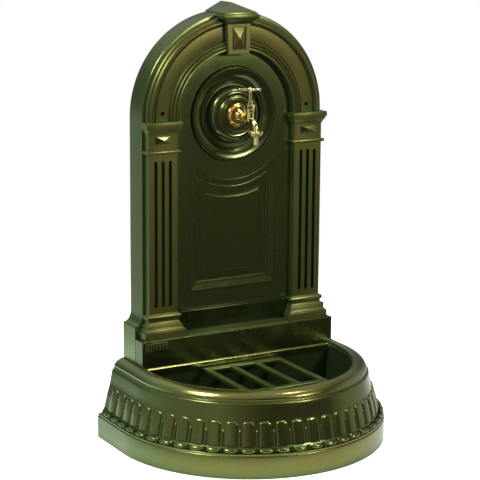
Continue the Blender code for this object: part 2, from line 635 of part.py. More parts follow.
# ---- pilasters --------------------------------------------------------------
def build_pilaster(side, x):
    """One fluted pilaster, from its base block up to its capital."""
    z = PLINTH_TOP_Z + GAP
    add_piece("base_block_" + side, rectangle_stack(x, [
        (BASE_BLOCK_HALF_WIDTH, BASE_BLOCK_PROJECTION, z),
        (BASE_BLOCK_HALF_WIDTH, BASE_BLOCK_PROJECTION, z + BASE_BLOCK_HEIGHT)]))
    z += BASE_BLOCK_HEIGHT + GAP
    half, height = BASE_MOULDING_HALF_WIDTH, BASE_MOULDING_HEIGHT
    add_piece("base_moulding_" + side, rectangle_stack(x, [
        (half + 0.006, 0.029, z), (half + 0.004, 0.028, z + 0.10 * height),
        (half, 0.026, z + 0.22 * height), (half, 0.026, z + 0.32 * height),
        (half - 0.005, 0.020, z + 0.45 * height), (half - 0.005, 0.020, z + 0.65 * height),
        (half, 0.024, z + 0.78 * height), (half, 0.024, z + 0.90 * height),
        (SHAFT_HALF_WIDTH, SHAFT_PROJECTION, z + height)]))
    z = SHAFT_BOTTOM_Z
    shaft = add_piece("shaft_" + side, rectangle_stack(x, [
        (SHAFT_HALF_WIDTH, SHAFT_PROJECTION, z),
        (SHAFT_HALF_WIDTH, SHAFT_PROJECTION, z + SHAFT_HEIGHT)]))
    flutes = bmesh.new()
    for i in range(SHAFT_FLUTE_COUNT):
        centre = x + (i - (SHAFT_FLUTE_COUNT - 1) / 2) * SHAFT_FLUTE_PITCH
        add_box(flutes, (centre - SHAFT_FLUTE_WIDTH / 2, SHAFT_Y - 0.01, z + SHAFT_FLUTE_MARGIN),
                (centre + SHAFT_FLUTE_WIDTH / 2, SHAFT_Y + SHAFT_FLUTE_DEPTH,
                 z + SHAFT_HEIGHT - SHAFT_FLUTE_MARGIN))
    boolean(shaft, add_cutter("shaft_flutes_" + side, flutes))
    z = ASTRAGAL_Z
    half, height = ASTRAGAL_HALF_WIDTH, ASTRAGAL_HEIGHT
    add_piece("astragal_" + side, rectangle_stack(x, [
        (half - 0.002, 0.021, z), (half, 0.023, z + 0.3 * height), (half, 0.023, z + 0.7 * height),
        (half - 0.002, 0.021, z + height)]))
    add_piece("neck_block_" + side, rectangle_stack(x, [
        (SHAFT_HALF_WIDTH, SHAFT_PROJECTION, NECK_Z),
        (SHAFT_HALF_WIDTH, SHAFT_PROJECTION, NECK_Z + NECK_HEIGHT)]))
    add_piece("diamond_" + side, diamond_point(
        (x, SHAFT_Y - GAP, NECK_Z + NECK_HEIGHT * 0.64), DIAMOND_HALF_WIDTH, DIAMOND_HALF_HEIGHT,
        DIAMOND_PROJECTION))
    half, height, out = CAPITAL_HALF_WIDTH, CAPITAL_HEIGHT, CAPITAL_PROJECTION
    add_piece("capital_" + side, rectangle_stack(x, [
        (SHAFT_HALF_WIDTH + 0.001, SHAFT_PROJECTION + 0.001, CAPITAL_Z),
        (SHAFT_HALF_WIDTH + 0.002, SHAFT_PROJECTION + 0.002, CAPITAL_Z + 0.18 * height),
        (half - 0.005, out - 0.005, CAPITAL_Z + 0.42 * height),
        (half - 0.003, out - 0.003, CAPITAL_Z + 0.55 * height),
        (half, out, CAPITAL_Z + 0.57 * height), (half, out, CAPITAL_Z + height)]))


# ---- panel and boss ---------------------------------------------------------
def build_panel():
    floor = FIELD_Y + PANEL_SINK - GAP
    levels = ((GAP, floor), (GAP, FIELD_Y + 0.001), (0.004, FIELD_Y + 0.002), (0.006, FIELD_Y),
              (0.010, FIELD_Y + 0.001), (0.012, FIELD_Y + 0.004), (FRAME_WIDTH, FIELD_Y + 0.008))
    bm = bmesh.new()
    skin_levels(bm, [[(x, y, z) for x, z in panel_outline(inset)] for inset, y in levels])
    frame = add_piece("panel_frame", bm)
    inner = xz_prism(panel_outline(FRAME_WIDTH), FIELD_Y - 0.02, FIELD_Y + 0.02)
    boolean(frame, add_cutter("panel_frame_opening", inner))
    low = FIELD_MARGIN
    field = bmesh.new()
    skin_levels(field, [[(x, y, z) for x, z in panel_outline(inset)] for inset, y in (
        (low, floor), (low, FIELD_Y + PANEL_SINK - 0.001),
        (low + FIELD_BEVEL, FIELD_Y + PANEL_SINK - FIELD_RISE))])
    add_piece("panel_field", field)


def build_boss():
    """Three turned pieces seated in a round pocket of the casing."""
    seat = (0.0, FIELD_Y, SPRINGING_HEIGHT)
    bottom = -BOSS_SINK + GAP
    outer = BOSS_RADIUS - GAP
    inner = BOSS_RING_INNER
    turned("boss_outer_ring", [
        (inner, bottom), (inner, -0.004), (inner + 0.002, -0.002), (inner + 0.006, -0.003),
        (inner + 0.010, 0.003), (inner + 0.018, 0.007), (inner + 0.026, 0.006),
        (inner + 0.031, 0.001), (inner + 0.0325, -0.006), (outer, -0.006), (outer, bottom)], seat)
    outer = BOSS_RING_INNER - GAP
    inner = BOSS_TORUS_INNER
    turned("boss_inner_ring", [
        (inner, bottom), (inner, 0.010), (inner + 0.003, 0.014), (inner + 0.007, 0.015),
        (inner + 0.011, 0.012), (inner + 0.014, 0.005), (inner + 0.015, -0.003),
        (outer, -0.005), (outer, bottom)], seat)
    radius = BOSS_TORUS_INNER - GAP
    face = BOSS_CENTRE_PROJECTION
    turned_mesh("boss_centre", [(radius, bottom), (radius, face - 0.002), (radius - 0.002, face)],
                seat, PAINT, 48, True)


# ---- arch and keystone ------------------------------------------------------
def keystone_outline(margin=0.0):
    """Front of the keystone, a wedge that narrows downwards."""
    top, bottom = KEYSTONE_TOP_Z + margin, KEYSTONE_BOTTOM_Z - margin
    return [(-KEYSTONE_HALF_BOTTOM - margin, bottom), (KEYSTONE_HALF_BOTTOM + margin, bottom),
            (KEYSTONE_HALF_TOP + margin, top), (-KEYSTONE_HALF_TOP - margin, top)]


def build_archivolt(side, low_x, high_x):
    """Half of the moulded arch, from a capital up to the keystone."""
    outer, inner = ARCHIVOLT_OUTER, ARCHIVOLT_INNER
    front = ARCHIVOLT_PROJECTION
    profile = [(inner, GAP), (inner, front - 0.002), (inner + 0.002, front), (inner + 0.006, front),
               (inner + 0.009, front - 0.004), (inner + 0.012, front - 0.002),
               (inner + 0.017, front - 0.003), (inner + 0.020, front - 0.007),
               (inner + 0.023, front - 0.009), (inner + 0.025, front - 0.008),
               (inner + 0.055, front - 0.008), (inner + 0.057, front - 0.010),
               (inner + 0.060, front - 0.002), (inner + 0.064, front), (outer - 0.007, front - 0.003),
               (outer - 0.002, front - 0.008), (outer, front - 0.014), (outer, GAP)]
    arch = turned("archivolt_" + side, profile, (0.0, FIELD_Y, SPRINGING_HEIGHT), segments=96)
    reach = outer + 0.02
    foot = CAPITAL_Z + CAPITAL_HEIGHT + GAP
    quarter = add_cutter("archivolt_quarter_" + side, box((low_x, FIELD_Y - 0.1, SPRINGING_HEIGHT),
                                                          (high_x, FIELD_Y + 0.1, SPRINGING_HEIGHT + reach)))
    boolean(arch, quarter, "INTERSECT")
    stilt = xz_prism([(low_side, z) for low_side, z in stilt_outline(low_x, foot)], FIELD_Y - 0.011,
                     FIELD_Y - GAP)
    boolean(arch, add_cutter("archivolt_stilt_" + side, stilt), "UNION")
    notch = xz_prism(keystone_outline(GAP), FIELD_Y - 0.1, FIELD_Y + 0.1)
    boolean(arch, add_cutter("archivolt_notch_" + side, notch))
    cap = rectangle_stack(0.0, cap_levels(GAP), WALL_Y)
    boolean(arch, add_cutter("archivolt_cap_notch_" + side, cap))
    holes = add_cutter("archivolt_hole_" + side, fixing_holes())
    boolean(arch, holes)


def stilt_outline(low_x, foot):
    """Straight foot that carries the arch down onto the capital."""
    sign = -1.0 if low_x < 0 else 1.0
    a, b = sign * ARCHIVOLT_INNER, sign * ARCHIVOLT_OUTER
    top = SPRINGING_HEIGHT + 0.002
    return [(a, foot), (b, foot), (b, top), (a, top)]


def build_keystone():
    block = add_piece("keystone_block", xz_prism(keystone_outline(), FIELD_Y - KEYSTONE_PROJECTION,
                                                 FIELD_Y - GAP))
    middle = (KEYSTONE_TOP_Z + KEYSTONE_BOTTOM_Z) / 2 + 0.002
    face = FIELD_Y - KEYSTONE_PROJECTION
    recess = box((-KEY_PANEL_HALF_WIDTH, face - 0.01, middle - KEY_PANEL_HALF_HEIGHT),
                 (KEY_PANEL_HALF_WIDTH, face + KEY_PANEL_DEPTH, middle + KEY_PANEL_HALF_HEIGHT))
    boolean(block, add_cutter("keystone_recess", recess))
    add_piece("keystone_diamond", diamond_point(
        (0.0, face + KEY_PANEL_DEPTH - GAP, middle), KEY_PANEL_HALF_WIDTH - GAP,
        KEY_PANEL_HALF_HEIGHT - GAP, KEY_DIAMOND_PROJECTION))


def cap_levels(margin=0.0):
    """Rectangles of the moulded cap, up to the ridge of its low hipped roof."""
    z = KEYSTONE_TOP_Z + GAP
    half, out = CAP_HALF_WIDTH, CAP_PROJECTION
    levels = [(half - 0.013, out - 0.009, z - margin), (half - 0.013, out - 0.009, z + 0.004),
              (half - 0.009, out - 0.006, z + 0.008), (half - 0.002, out - 0.0015, z + 0.0125),
              (half, out, z + 0.0128), (half, out, z + 0.020), (half - 0.0025, out - 0.0025, z + 0.0202),
              (half - 0.0025, out - 0.0025, z + 0.0225), (half - 0.0045, out - 0.0045, z + 0.0227),
              (half - 0.0045, out - 0.0045, z + CAP_MOULDING_HEIGHT),
              (CAP_RIDGE_HALF_WIDTH, -CASING_DEPTH + CAP_RIDGE_LENGTH,
               z + CAP_MOULDING_HEIGHT + CAP_ROOF_HEIGHT)]
    return [(half + margin, out + margin, z) for half, out, z in levels]


def build_keystone_cap():
    """The cap over the keystone, whose roof runs back over the arch to the wall."""
    cap = add_piece("keystone_cap", rectangle_stack(0.0, cap_levels(), WALL_Y))
    saddle = turned_disc(CASING_HALF_WIDTH + GAP, FIELD_Y - GAP, WALL_Y + 0.01, 128)
    boolean(cap, add_cutter("cap_saddle", saddle))


# ---- tap --------------------------------------------------------------------
def build_tap():
    axis = (0.0, BOSS_FACE_Y - GAP, SPRINGING_HEIGHT)
    radius, thick = ROSETTE_RADIUS, ROSETTE_THICKNESS
    turned_mesh("tap_rosette", [(radius, 0.0), (radius, 0.002), (radius - 0.003, 0.003),
                                (radius - 0.007, 0.006), (radius - 0.014, thick)], axis,
                facing_front=True)
    collar_y = BOSS_FACE_Y - thick - 2 * GAP
    turned_mesh("tap_collar", [(COLLAR_RADIUS, 0.0), (COLLAR_RADIUS, COLLAR_THICKNESS)],
                (0.0, collar_y, SPRINGING_HEIGHT), segments=6, facing_front=True)
    inlet_y = collar_y - COLLAR_THICKNESS - GAP
    length = inlet_y - SPINDLE_Y - VALVE_RADIUS - GAP
    turned_mesh("tap_inlet", [(INLET_RADIUS, 0.0), (INLET_RADIUS, length)],
                (0.0, inlet_y, SPRINGING_HEIGHT), facing_front=True)
    spindle = (0.0, SPINDLE_Y, 0.0)
    z = SPRINGING_HEIGHT
    turned_mesh("tap_valve", [(VALVE_RADIUS - 0.004, z - VALVE_BOTTOM), (VALVE_RADIUS, z - 0.004),
                              (VALVE_RADIUS, z + 0.006), (VALVE_RADIUS - 0.002, z + VALVE_TOP)], spindle)
    z += VALVE_TOP + GAP
    turned_mesh("tap_bonnet", [(BONNET_RADIUS, z), (BONNET_RADIUS, z + BONNET_HEIGHT)], spindle,
                segments=6)
    bore = SPINDLE_RADIUS + SPINDLE_CLEARANCE
    z = GLAND_Z
    turned("tap_gland", [(bore, z + 0.001), (bore, z + GLAND_HEIGHT), (GLAND_RADIUS, z + GLAND_HEIGHT),
                         (GLAND_RADIUS, z), (bore, z)], spindle, BRASS, 24, False)
    build_spout()


def build_spout():
    """Bent spout, the nut on its outlet and the hose tail below it."""
    start_y = SPINDLE_Y - VALVE_RADIUS - GAP
    bend = SPINDLE_Y - VALVE_RADIUS - SPOUT_Y
    steps = 12
    curve = bpy.data.curves.new("tap_spout", "CURVE")
    curve.dimensions = "3D"
    curve.bevel_depth = SPOUT_RADIUS
    curve.bevel_resolution = 4
    curve.use_fill_caps = True
    spline = curve.splines.new("POLY")
    points = []
    for i in range(steps + 1):
        angle = math.pi / 2 * i / steps
        points.append((0.0, start_y - (bend - GAP) * math.sin(angle),
                       SPRINGING_HEIGHT - bend * (1 - math.cos(angle))))
    points.append((0.0, SPOUT_Y, UNION_TOP_Z + GAP))
    spline.points.add(len(points) - 1)
    for point, co in zip(spline.points, points):
        point.co = (*co, 1.0)
    curve.materials.append(BRASS)
    PARTS.objects.link(bpy.data.objects.new("tap_spout", curve))
    outlet = (0.0, SPOUT_Y, 0.0)
    low = UNION_TOP_Z - UNION_HEIGHT
    turned_mesh("union_nut", [(UNION_RADIUS - 0.002, low), (UNION_RADIUS, low + 0.002),
                              (UNION_RADIUS, UNION_TOP_Z - 0.002), (UNION_RADIUS - 0.002, UNION_TOP_Z)],
                outlet, segments=24)
    top = low - GAP
    bottom = top - HOSE_TAIL_LENGTH
    turned("hose_tail", [(HOSE_TAIL_BORE, bottom), (HOSE_TAIL_BORE, top), (HOSE_TAIL_RADIUS, top),
                         (HOSE_TAIL_RADIUS, bottom)], outlet, BRASS, 32, False)


def build_handle():
    """Spindle and T-bar, which turn together about the valve's upright axis."""
    pivot = bpy.data.objects.new("handle_pivot", None)
    pivot.location = (0.0, SPINDLE_Y, HANDLE_Z)
    pivot.rotation_euler = (0.0, 0.0, HANDLE_ANGLE)
    PARTS.objects.link(pivot)
    bottom = -(SPINDLE_RISE + SPINDLE_INSERTION)
    spindle = turned_mesh("tap_spindle", [(SPINDLE_RADIUS, bottom), (SPINDLE_RADIUS, -HUB_HEIGHT / 2 - GAP)],
                          (0.0, 0.0, 0.0), segments=24)
    spindle.parent = pivot
    half = HUB_HEIGHT / 2
    hub = turned_mesh("tap_handle", [(HUB_RADIUS - 0.001, -half), (HUB_RADIUS, -half + 0.001),
                                     (HUB_RADIUS, half - 0.002), (HUB_RADIUS - 0.002, half)],
                      (0.0, 0.0, 0.0), segments=24)
    hub.parent = pivot
    bar = bmesh.new()
    verts = bmesh.ops.create_cone(bar, cap_ends=True, segments=16, radius1=HANDLE_RADIUS,
                                  radius2=HANDLE_RADIUS, depth=HANDLE_LENGTH)["verts"]
    for vert in verts:
        x, y, z = vert.co
        vert.co = (z, y, x)
    cutter = add_cutter("handle_bar", bar)
    cutter.parent = pivot
    boolean(hub, cutter, "UNION")


# ---- build ------------------------------------------------------------------
build_base_ring()
build_basin_wall()
build_basin_rim()
build_bucket_grille()
build_casing()
build_casing_foot()
build_plinth()
build_name_plate()
build_pilaster("left", -PILASTER_X)
build_pilaster("right", PILASTER_X)
build_panel()
build_boss()
build_archivolt("left", -0.30, 0.0)
build_archivolt("right", 0.0, 0.30)
build_keystone()
build_keystone_cap()
build_tap()
build_handle()
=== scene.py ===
"""Cast wall fountain in green and bronze paint with a polished brass tap.

The CAD model is the fixed frame. Every visible casting is modelled again here with its mouldings,
rounded edges and finish, in metres and in the frame's own axes: +X along the wall, +Y into the wall.
"""

import math

import bmesh
import bpy
from bpy.props import FloatProperty, FloatVectorProperty, IntProperty, PointerProperty
from mathutils import Matrix, Vector


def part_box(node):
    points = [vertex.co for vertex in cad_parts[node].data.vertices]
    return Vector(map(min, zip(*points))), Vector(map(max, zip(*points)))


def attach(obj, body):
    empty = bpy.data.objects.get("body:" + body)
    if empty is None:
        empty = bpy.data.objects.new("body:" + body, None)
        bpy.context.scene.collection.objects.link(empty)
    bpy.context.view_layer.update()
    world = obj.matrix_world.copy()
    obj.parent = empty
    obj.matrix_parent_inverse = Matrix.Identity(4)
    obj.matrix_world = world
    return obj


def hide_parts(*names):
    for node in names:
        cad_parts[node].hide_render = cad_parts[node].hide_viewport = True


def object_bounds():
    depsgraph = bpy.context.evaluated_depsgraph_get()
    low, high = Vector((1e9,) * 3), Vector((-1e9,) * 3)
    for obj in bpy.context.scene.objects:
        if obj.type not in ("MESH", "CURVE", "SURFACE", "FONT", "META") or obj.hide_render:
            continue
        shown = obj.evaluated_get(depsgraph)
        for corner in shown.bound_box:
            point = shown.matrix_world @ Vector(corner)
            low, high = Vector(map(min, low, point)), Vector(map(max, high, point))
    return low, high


bl_info = {
    "name": "Wall fountain",
    "version": (1, 0, 0),
    "blender": (4, 5, 0),
    "location": "3D View > Sidebar > Fountain",
    "description": "Builds the castings, the tap and the finishes of a wall fountain",
    "category": "Object",
}

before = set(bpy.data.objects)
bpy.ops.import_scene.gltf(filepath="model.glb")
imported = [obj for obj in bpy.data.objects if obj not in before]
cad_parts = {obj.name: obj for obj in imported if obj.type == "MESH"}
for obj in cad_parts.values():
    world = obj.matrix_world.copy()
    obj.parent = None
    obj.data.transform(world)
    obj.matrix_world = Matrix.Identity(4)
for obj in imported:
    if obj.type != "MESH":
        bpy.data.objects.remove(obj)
CAD_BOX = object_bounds()


def low(node):
    """Lowest corner of a node of the frame."""
    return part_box(node)[0]


def high(node):
    """Highest corner of a node of the frame."""
    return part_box(node)[1]


def heights(node):
    """Bottom and top of a node of the frame."""
    return low(node).z, high(node).z


# ---- places read from the frame ---------------------------------------------
WALL_Y = high("casing").y
FIELD_Y = low("casing").y
CASING_HALF = high("casing").x
SPRINGING = high("casing").z - CASING_HALF
BASE_RADIUS = high("base_ring").x
BASIN_Y = low("base_ring").y + BASE_RADIUS
BASE_TOP = high("base_ring").z
FRIEZE_TOP = high("basin_wall").z
RIM_TOP = high("basin_rim").z
PLINTH_LOW, PLINTH_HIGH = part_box("plinth")
SPINDLE_Y = (low("tap_spindle").y + high("tap_spindle").y) / 2
SPOUT_Y = (low("hose_tail").y + high("hose_tail").y) / 2
BOSS_Y = low("boss_centre").y
# Radius of the panel's hollow head about the boss, and how far inner blocks stop short of the wall.
PANEL_HEAD = 0.149
BACK_STEP = 0.0003
# Thickness of the hollow castings' walls.
CASTING = 0.0075
# Points closer together than this are one point.
SEAM = 1e-6


def length(name, description, default):
    """A size in metres, for the panel."""
    return FloatProperty(name=name, description=description, default=default, min=0.0, unit="LENGTH",
                         precision=4)


def colour(name, description, default):
    """A colour, for the panel."""
    return FloatVectorProperty(name=name, description=description, default=default, size=3, min=0.0,
                               max=1.0, subtype="COLOR")


def share(name, description, default):
    """A number from 0 to 1, for the panel."""
    return FloatProperty(name=name, description=description, default=default, min=0.0, max=1.0,
                         subtype="FACTOR")


class FountainSizes(bpy.types.PropertyGroup):
    """Sizes of the visible detail."""
    edge: length("Edge radius", "Rounding of the cast edges", 0.0012)
    tongues: IntProperty(name="Tongues", description="Raised tongues round the half circle", default=25,
                         min=3)
    tongue_width: length("Tongue width", "Width of one raised tongue", 0.0285)
    tongue_top: length("Tongue top", "Height of the tongues' heads above the floor", 0.1205)
    tongue_rise: length("Tongue rise", "How far a tongue stands out from the frieze", 0.0040)
    dart_top: length("Dart top", "Height of the small ribs between the tongues", 0.1030)
    bead: length("Bead", "Radius of the long beads under the tongues", 0.0050)
    lip: length("Lip radius", "Plan radius of the basin's inner lip", 0.2385)
    bowl_floor: length("Bowl floor", "Height of the bowl's floor", 0.0615)
    flute_width: length("Flute width", "Width of a pilaster's flute", 0.0080)
    flute_depth: length("Flute depth", "Depth of a pilaster's flute", 0.0085)
    bar_radius: length("T-bar radius", "Radius of the tap's T-bar", 0.0034)


class FountainFinish(bpy.types.PropertyGroup):
    """Colours and gloss of the finishes."""
    green: colour("Green", "Dark green coat under the bronze", (0.086, 0.142, 0.044))
    bronze: colour("Bronze", "Bronze powder rubbed over the raised parts", (0.140, 0.124, 0.031))
    # Painted shade: a near-black colour that the paint is darkened to in creases and hollows.
    recess_painted_shade: colour("Painted shade", "Painted shade in the recesses", (0.008, 0.011, 0.005))
    paint_roughness: share("Paint roughness", "Roughness of the painted castings", 0.28)
    brass: colour("Brass", "Polished brass of the tap", (0.80, 0.69, 0.31))
    flange: colour("Flange brass", "Warm brass of the flange on the boss", (0.88, 0.56, 0.13))
    nickel: colour("Worn bar", "Worn silvery end of the tap's bar", (0.66, 0.60, 0.50))
    brass_roughness: share("Brass roughness", "Roughness of the polished brass", 0.10)
    floor: colour("Floor", "Plain pale floor", (0.90, 0.90, 0.89))


def sizes():
    """The scene's sizes."""
    return bpy.context.scene.fountain_sizes


def finish():
    """The scene's colours and gloss."""
    return bpy.context.scene.fountain_finish


# ---- shape helpers ----------------------------------------------------------
def fillet(points, steps=4, closed=False):
    """Round the corners of a line of points, each given with its own radius as the last number."""
    line = [(Vector(point[:-1]), point[-1]) for point in points]
    count = len(line)
    rounded = []
    for i, (corner, radius) in enumerate(line):
        if radius == 0 or (not closed and i in (0, count - 1)):
            rounded.append(tuple(corner))
            continue
        back = line[i - 1][0] - corner
        ahead = line[(i + 1) % count][0] - corner
        half = back.angle(ahead) / 2
        reach = min(radius / math.tan(half), back.length * 0.49, ahead.length * 0.49)
        radius = reach * math.tan(half)
        centre = corner + (back.normalized() + ahead.normalized()).normalized() * (radius / math.sin(half))
        start = corner + back.normalized() * reach - centre
        end = corner + ahead.normalized() * reach - centre
        for k in range(steps + 1):
            rounded.append(tuple(centre + start.lerp(end, k / steps).normalized() * radius))
    return rounded


def wire(bm, points, closed=True):
    """Join points by edges and return the edges."""
    verts = [bm.verts.new(point) for point in points]
    edges = [bm.edges.new(pair) for pair in zip(verts, verts[1:])]
    if closed:
        edges.append(bm.edges.new((verts[-1], verts[0])))
    return edges


def verts_of(edges):
    """The points of some edges, each once."""
    return list(dict.fromkeys(vert for edge in edges for vert in edge.verts))


def push(bm, edges, offset):
    """Extrude edges by an offset and return the edges at the far side."""
    made = bmesh.ops.extrude_edge_only(bm, edges=edges)["geom"]
    verts = dict.fromkeys(item for item in made if isinstance(item, bmesh.types.BMVert))
    bmesh.ops.translate(bm, vec=offset, verts=list(verts))
    return [edge for edge in dict.fromkeys(e for v in verts for e in v.link_edges)
            if edge.verts[0] in verts and edge.verts[1] in verts]


def redraw(edges, before, after):
    """Move a loop of edges from one line of points onto another line with as many points."""
    for vert in verts_of(edges):
        nearest = min(range(len(before)), key=lambda i: (vert.co - Vector(before[i])).length_squared)
        vert.co = after[nearest]


def turn(bm, edges, centre, axis, angle, steps):
    """Spin edges about an axis and return the edges at the far side."""
    made = bmesh.ops.spin(bm, geom=verts_of(edges) + edges, cent=centre, axis=axis, angle=angle,
                          steps=steps, use_merge=angle > 6.2)["geom_last"]
    return [item for item in made if isinstance(item, bmesh.types.BMEdge)]


def cap(bm, edges):
    """Close a loop of edges with one face."""
    bmesh.ops.contextual_create(bm, geom=verts_of(edges) + edges)


def prism(points, offset):
    """A block with the given outline, pushed along by an offset."""
    bm = bmesh.new()
    first = wire(bm, points)
    cap(bm, first)
    cap(bm, push(bm, first, offset))
    return bm


def bevel(bm, edges, offset, segments=3):
    """Round some edges."""
    bmesh.ops.bevel(bm, geom=edges, offset=offset, segments=segments, affect="EDGES", profile=0.5,
                    material=-1)


def horseshoe(points, leg, centre, axis, steps, closed=True):
    """Sweep a section along a straight leg, half round an axis, and back along a second leg."""
    bm = bmesh.new()
    first = wire(bm, points, closed)
    edges = push(bm, first, leg)
    edges = turn(bm, edges, centre, axis, math.pi, steps)
    last = push(bm, edges, -Vector(leg))
    if closed:
        cap(bm, first)
        cap(bm, last)
    bmesh.ops.remove_doubles(bm, verts=bm.verts, dist=SEAM)
    return bm


def basin_sweep(profile, back_y=WALL_Y, closed=True, steps=100):
    """Sweep (radius, z) points round the basin's plan."""
    return horseshoe([(-r, back_y, z) for r, z in profile], (0, BASIN_Y - back_y, 0),
                     (0, BASIN_Y, 0), (0, 0, 1), steps, closed)


def add_box(bm, corner, opposite, radius=0.0, segments=3):
    """A box between two corners with rounded edges."""
    size = [b - a for a, b in zip(corner, opposite)]
    verts = bmesh.ops.create_cube(bm, size=1.0)["verts"]
    bmesh.ops.scale(bm, vec=size, verts=verts)
    bmesh.ops.translate(bm, vec=[(a + b) / 2 for a, b in zip(corner, opposite)], verts=verts)
    if radius:
        bevel(bm, list(dict.fromkeys(edge for vert in verts for edge in vert.link_edges)), radius, segments)


def box(corner, opposite, radius=0.0, segments=3):
    """A bmesh with one box in it."""
    bm = bmesh.new()
    add_box(bm, corner, opposite, radius, segments)
    return bm


def merge(bm, other):
    """Add another bmesh to this one."""
    mesh = bpy.data.meshes.new("part")
    other.to_mesh(mesh)
    other.free()
    bm.from_mesh(mesh)
    bpy.data.meshes.remove(mesh)


def stack(centre_x, levels, back_y, corner=0.0008):
    """A moulding round three sides of a block: (half width, projection, z, radius) levels."""
    profile = fillet(levels, 3)
    half, out, z = profile[0]
    depth = back_y - FIELD_Y + out
    outline = [(centre_x - half, back_y, 0), (centre_x - half, back_y - depth, corner),
               (centre_x + half, back_y - depth, corner), (centre_x + half, back_y, 0)]
    bm = bmesh.new()
    first = wire(bm, [(x, y, z) for x, y in fillet(outline, 2)])
    cap(bm, first)
    edges = first
    pivot = Matrix.Translation((-centre_x, -back_y, 0))
    for next_half, next_out, next_z in profile[1:]:
        next_depth = back_y - FIELD_Y + next_out
        edges = push(bm, edges, (0, 0, next_z - z))
        bmesh.ops.scale(bm, vec=(next_half / half, next_depth / depth, 1), space=pivot,
                        verts=verts_of(edges))
        half, depth, z = next_half, next_depth, next_z
    cap(bm, edges)
    return bm


def turned(points, base, facing_front=True, steps=96, closed=False):
    """Turn (radius, height) points about an axis that leaves base along -Y, or upwards."""
    x, y, z = base
    bm = bmesh.new()
    if facing_front:
        line = [(x + r, y - h, z) for r, h in points]
    else:
        line = [(x + r, y, z + h) for r, h in points]
    edges = wire(bm, line, closed)
    turn(bm, edges, base, (0, 1, 0) if facing_front else (0, 0, 1), 2 * math.pi, steps)
    bmesh.ops.remove_doubles(bm, verts=bm.verts, dist=SEAM)
    return bm


def turned_up(points, axis, steps, closed=False):
    """Turn (radius, height) points about an upright axis."""
    return turned(points, axis, False, steps, closed)


def thicken(bm, thickness):
    """Give an open sheet a wall on its inner side, or on its outer side if thickness is negative."""
    bm.normal_update()
    bmesh.ops.recalc_face_normals(bm, faces=bm.faces)
    bmesh.ops.solidify(bm, geom=bm.faces[:], thickness=thickness)


def new_object(name, data):
    """A new object at the origin, linked to the scene."""
    obj = bpy.data.objects.new(name, data)
    bpy.context.scene.collection.objects.link(obj)
    return obj


def to_front(place):
    """Matrix that stands a flat shape up to face the viewer, at a place."""
    return Matrix.Translation(place) @ Matrix.Rotation(math.pi / 2, 4, "X")


def cut(bm, cutter):
    """Cut one closed bmesh with another and return the result."""
    objects = []
    for name, source in (("cut_body", bm), ("cut_tool", cutter)):
        source.normal_update()
        bmesh.ops.recalc_face_normals(source, faces=source.faces)
        mesh = bpy.data.meshes.new(name)
        source.to_mesh(mesh)
        source.free()
        objects.append(new_object(name, mesh))
    body, tool = objects
    modifier = body.modifiers.new("cut", "BOOLEAN")
    modifier.operation = "DIFFERENCE"
    modifier.object = tool
    modifier.solver = "EXACT"
    result = bmesh.new()
    result.from_object(body, bpy.context.evaluated_depsgraph_get())
    for obj in objects:
        mesh = obj.data
        bpy.data.objects.remove(obj)
        bpy.data.meshes.remove(mesh)
    return result


def add_piece(name, bm, material, nodes=(), body="fountain", sharp=32, weighted=False):
    """Store a bmesh as a named piece that rides on a body and stands for nodes of the frame."""
    bm.normal_update()
    bmesh.ops.recalc_face_normals(bm, faces=bm.faces)
    mesh = bpy.data.meshes.new(name)
    bm.to_mesh(mesh)
    bm.free()
    mesh.materials.append(bpy.data.materials[material])
    mesh.shade_smooth()
    mesh.set_sharp_from_angle(angle=math.radians(sharp))
    obj = new_object(name, mesh)
    if weighted:
        modifier = obj.modifiers.new("face_weighted", "WEIGHTED_NORMAL")
        modifier.keep_sharp = True
    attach(obj, body)
    if nodes:
        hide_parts(*nodes)


def add_brass(name, bm, nodes=(), material="tap_brass", body="fountain", sharp=32):
    """Store a piece of the tap in a brass finish."""
    add_piece(name, bm, material, nodes, body, sharp)


# ---- basin ------------------------------------------------------------------
def frieze_line():
    """(z, radius) places of the leaning frieze behind its tongues."""
    return ((0.0685, 0.3), (0.097, 0.2932), (0.115, 0.288), (0.124, 0.2853), (0.131, 0.2838),
            (0.15, 0.2803), (0.1565, 0.2786))


def frieze_radius(z):
    """Plan radius of the leaning frieze at a height."""
    line = frieze_line()
    for (z_a, r_a), (z_b, r_b) in zip(line, line[1:]):
        if z <= z_b:
            break
    return r_a + (r_b - r_a) * (z - z_a) / (z_b - z_a)


def on_frieze(along, out, z):
    """Carry a place given along the frieze, out from it and up, onto the basin's plan."""
    reference = frieze_line()[0][1]
    angle = along / reference
    radius = frieze_radius(z) + out
    if abs(angle) <= math.pi / 2:
        return Vector((radius * math.sin(angle), BASIN_Y - radius * math.cos(angle), z))
    side = math.copysign(1.0, angle)
    return Vector((side * radius, BASIN_Y + (abs(angle) - math.pi / 2) * reference, z))


def build_base_ring():
    """Plain band on the floor under the basin."""
    outer, inner = BASE_RADIUS, low("base_ring").z
    wall = 0.012
    profile = fillet([(outer - wall, inner, 0.001), (outer - 0.0005, inner, 0.0015),
                      (outer, BASE_TOP, 0.0035), (outer - wall - 0.008, BASE_TOP, 0.001)], 4, True)
    bm = basin_sweep(profile)
    add_box(bm, (wall - outer, WALL_Y - wall, 0.0), (outer - wall, WALL_Y - BACK_STEP, BASE_TOP), 0.001)
    add_piece("base_ring_band", bm, "band_paint", ["base_ring"])


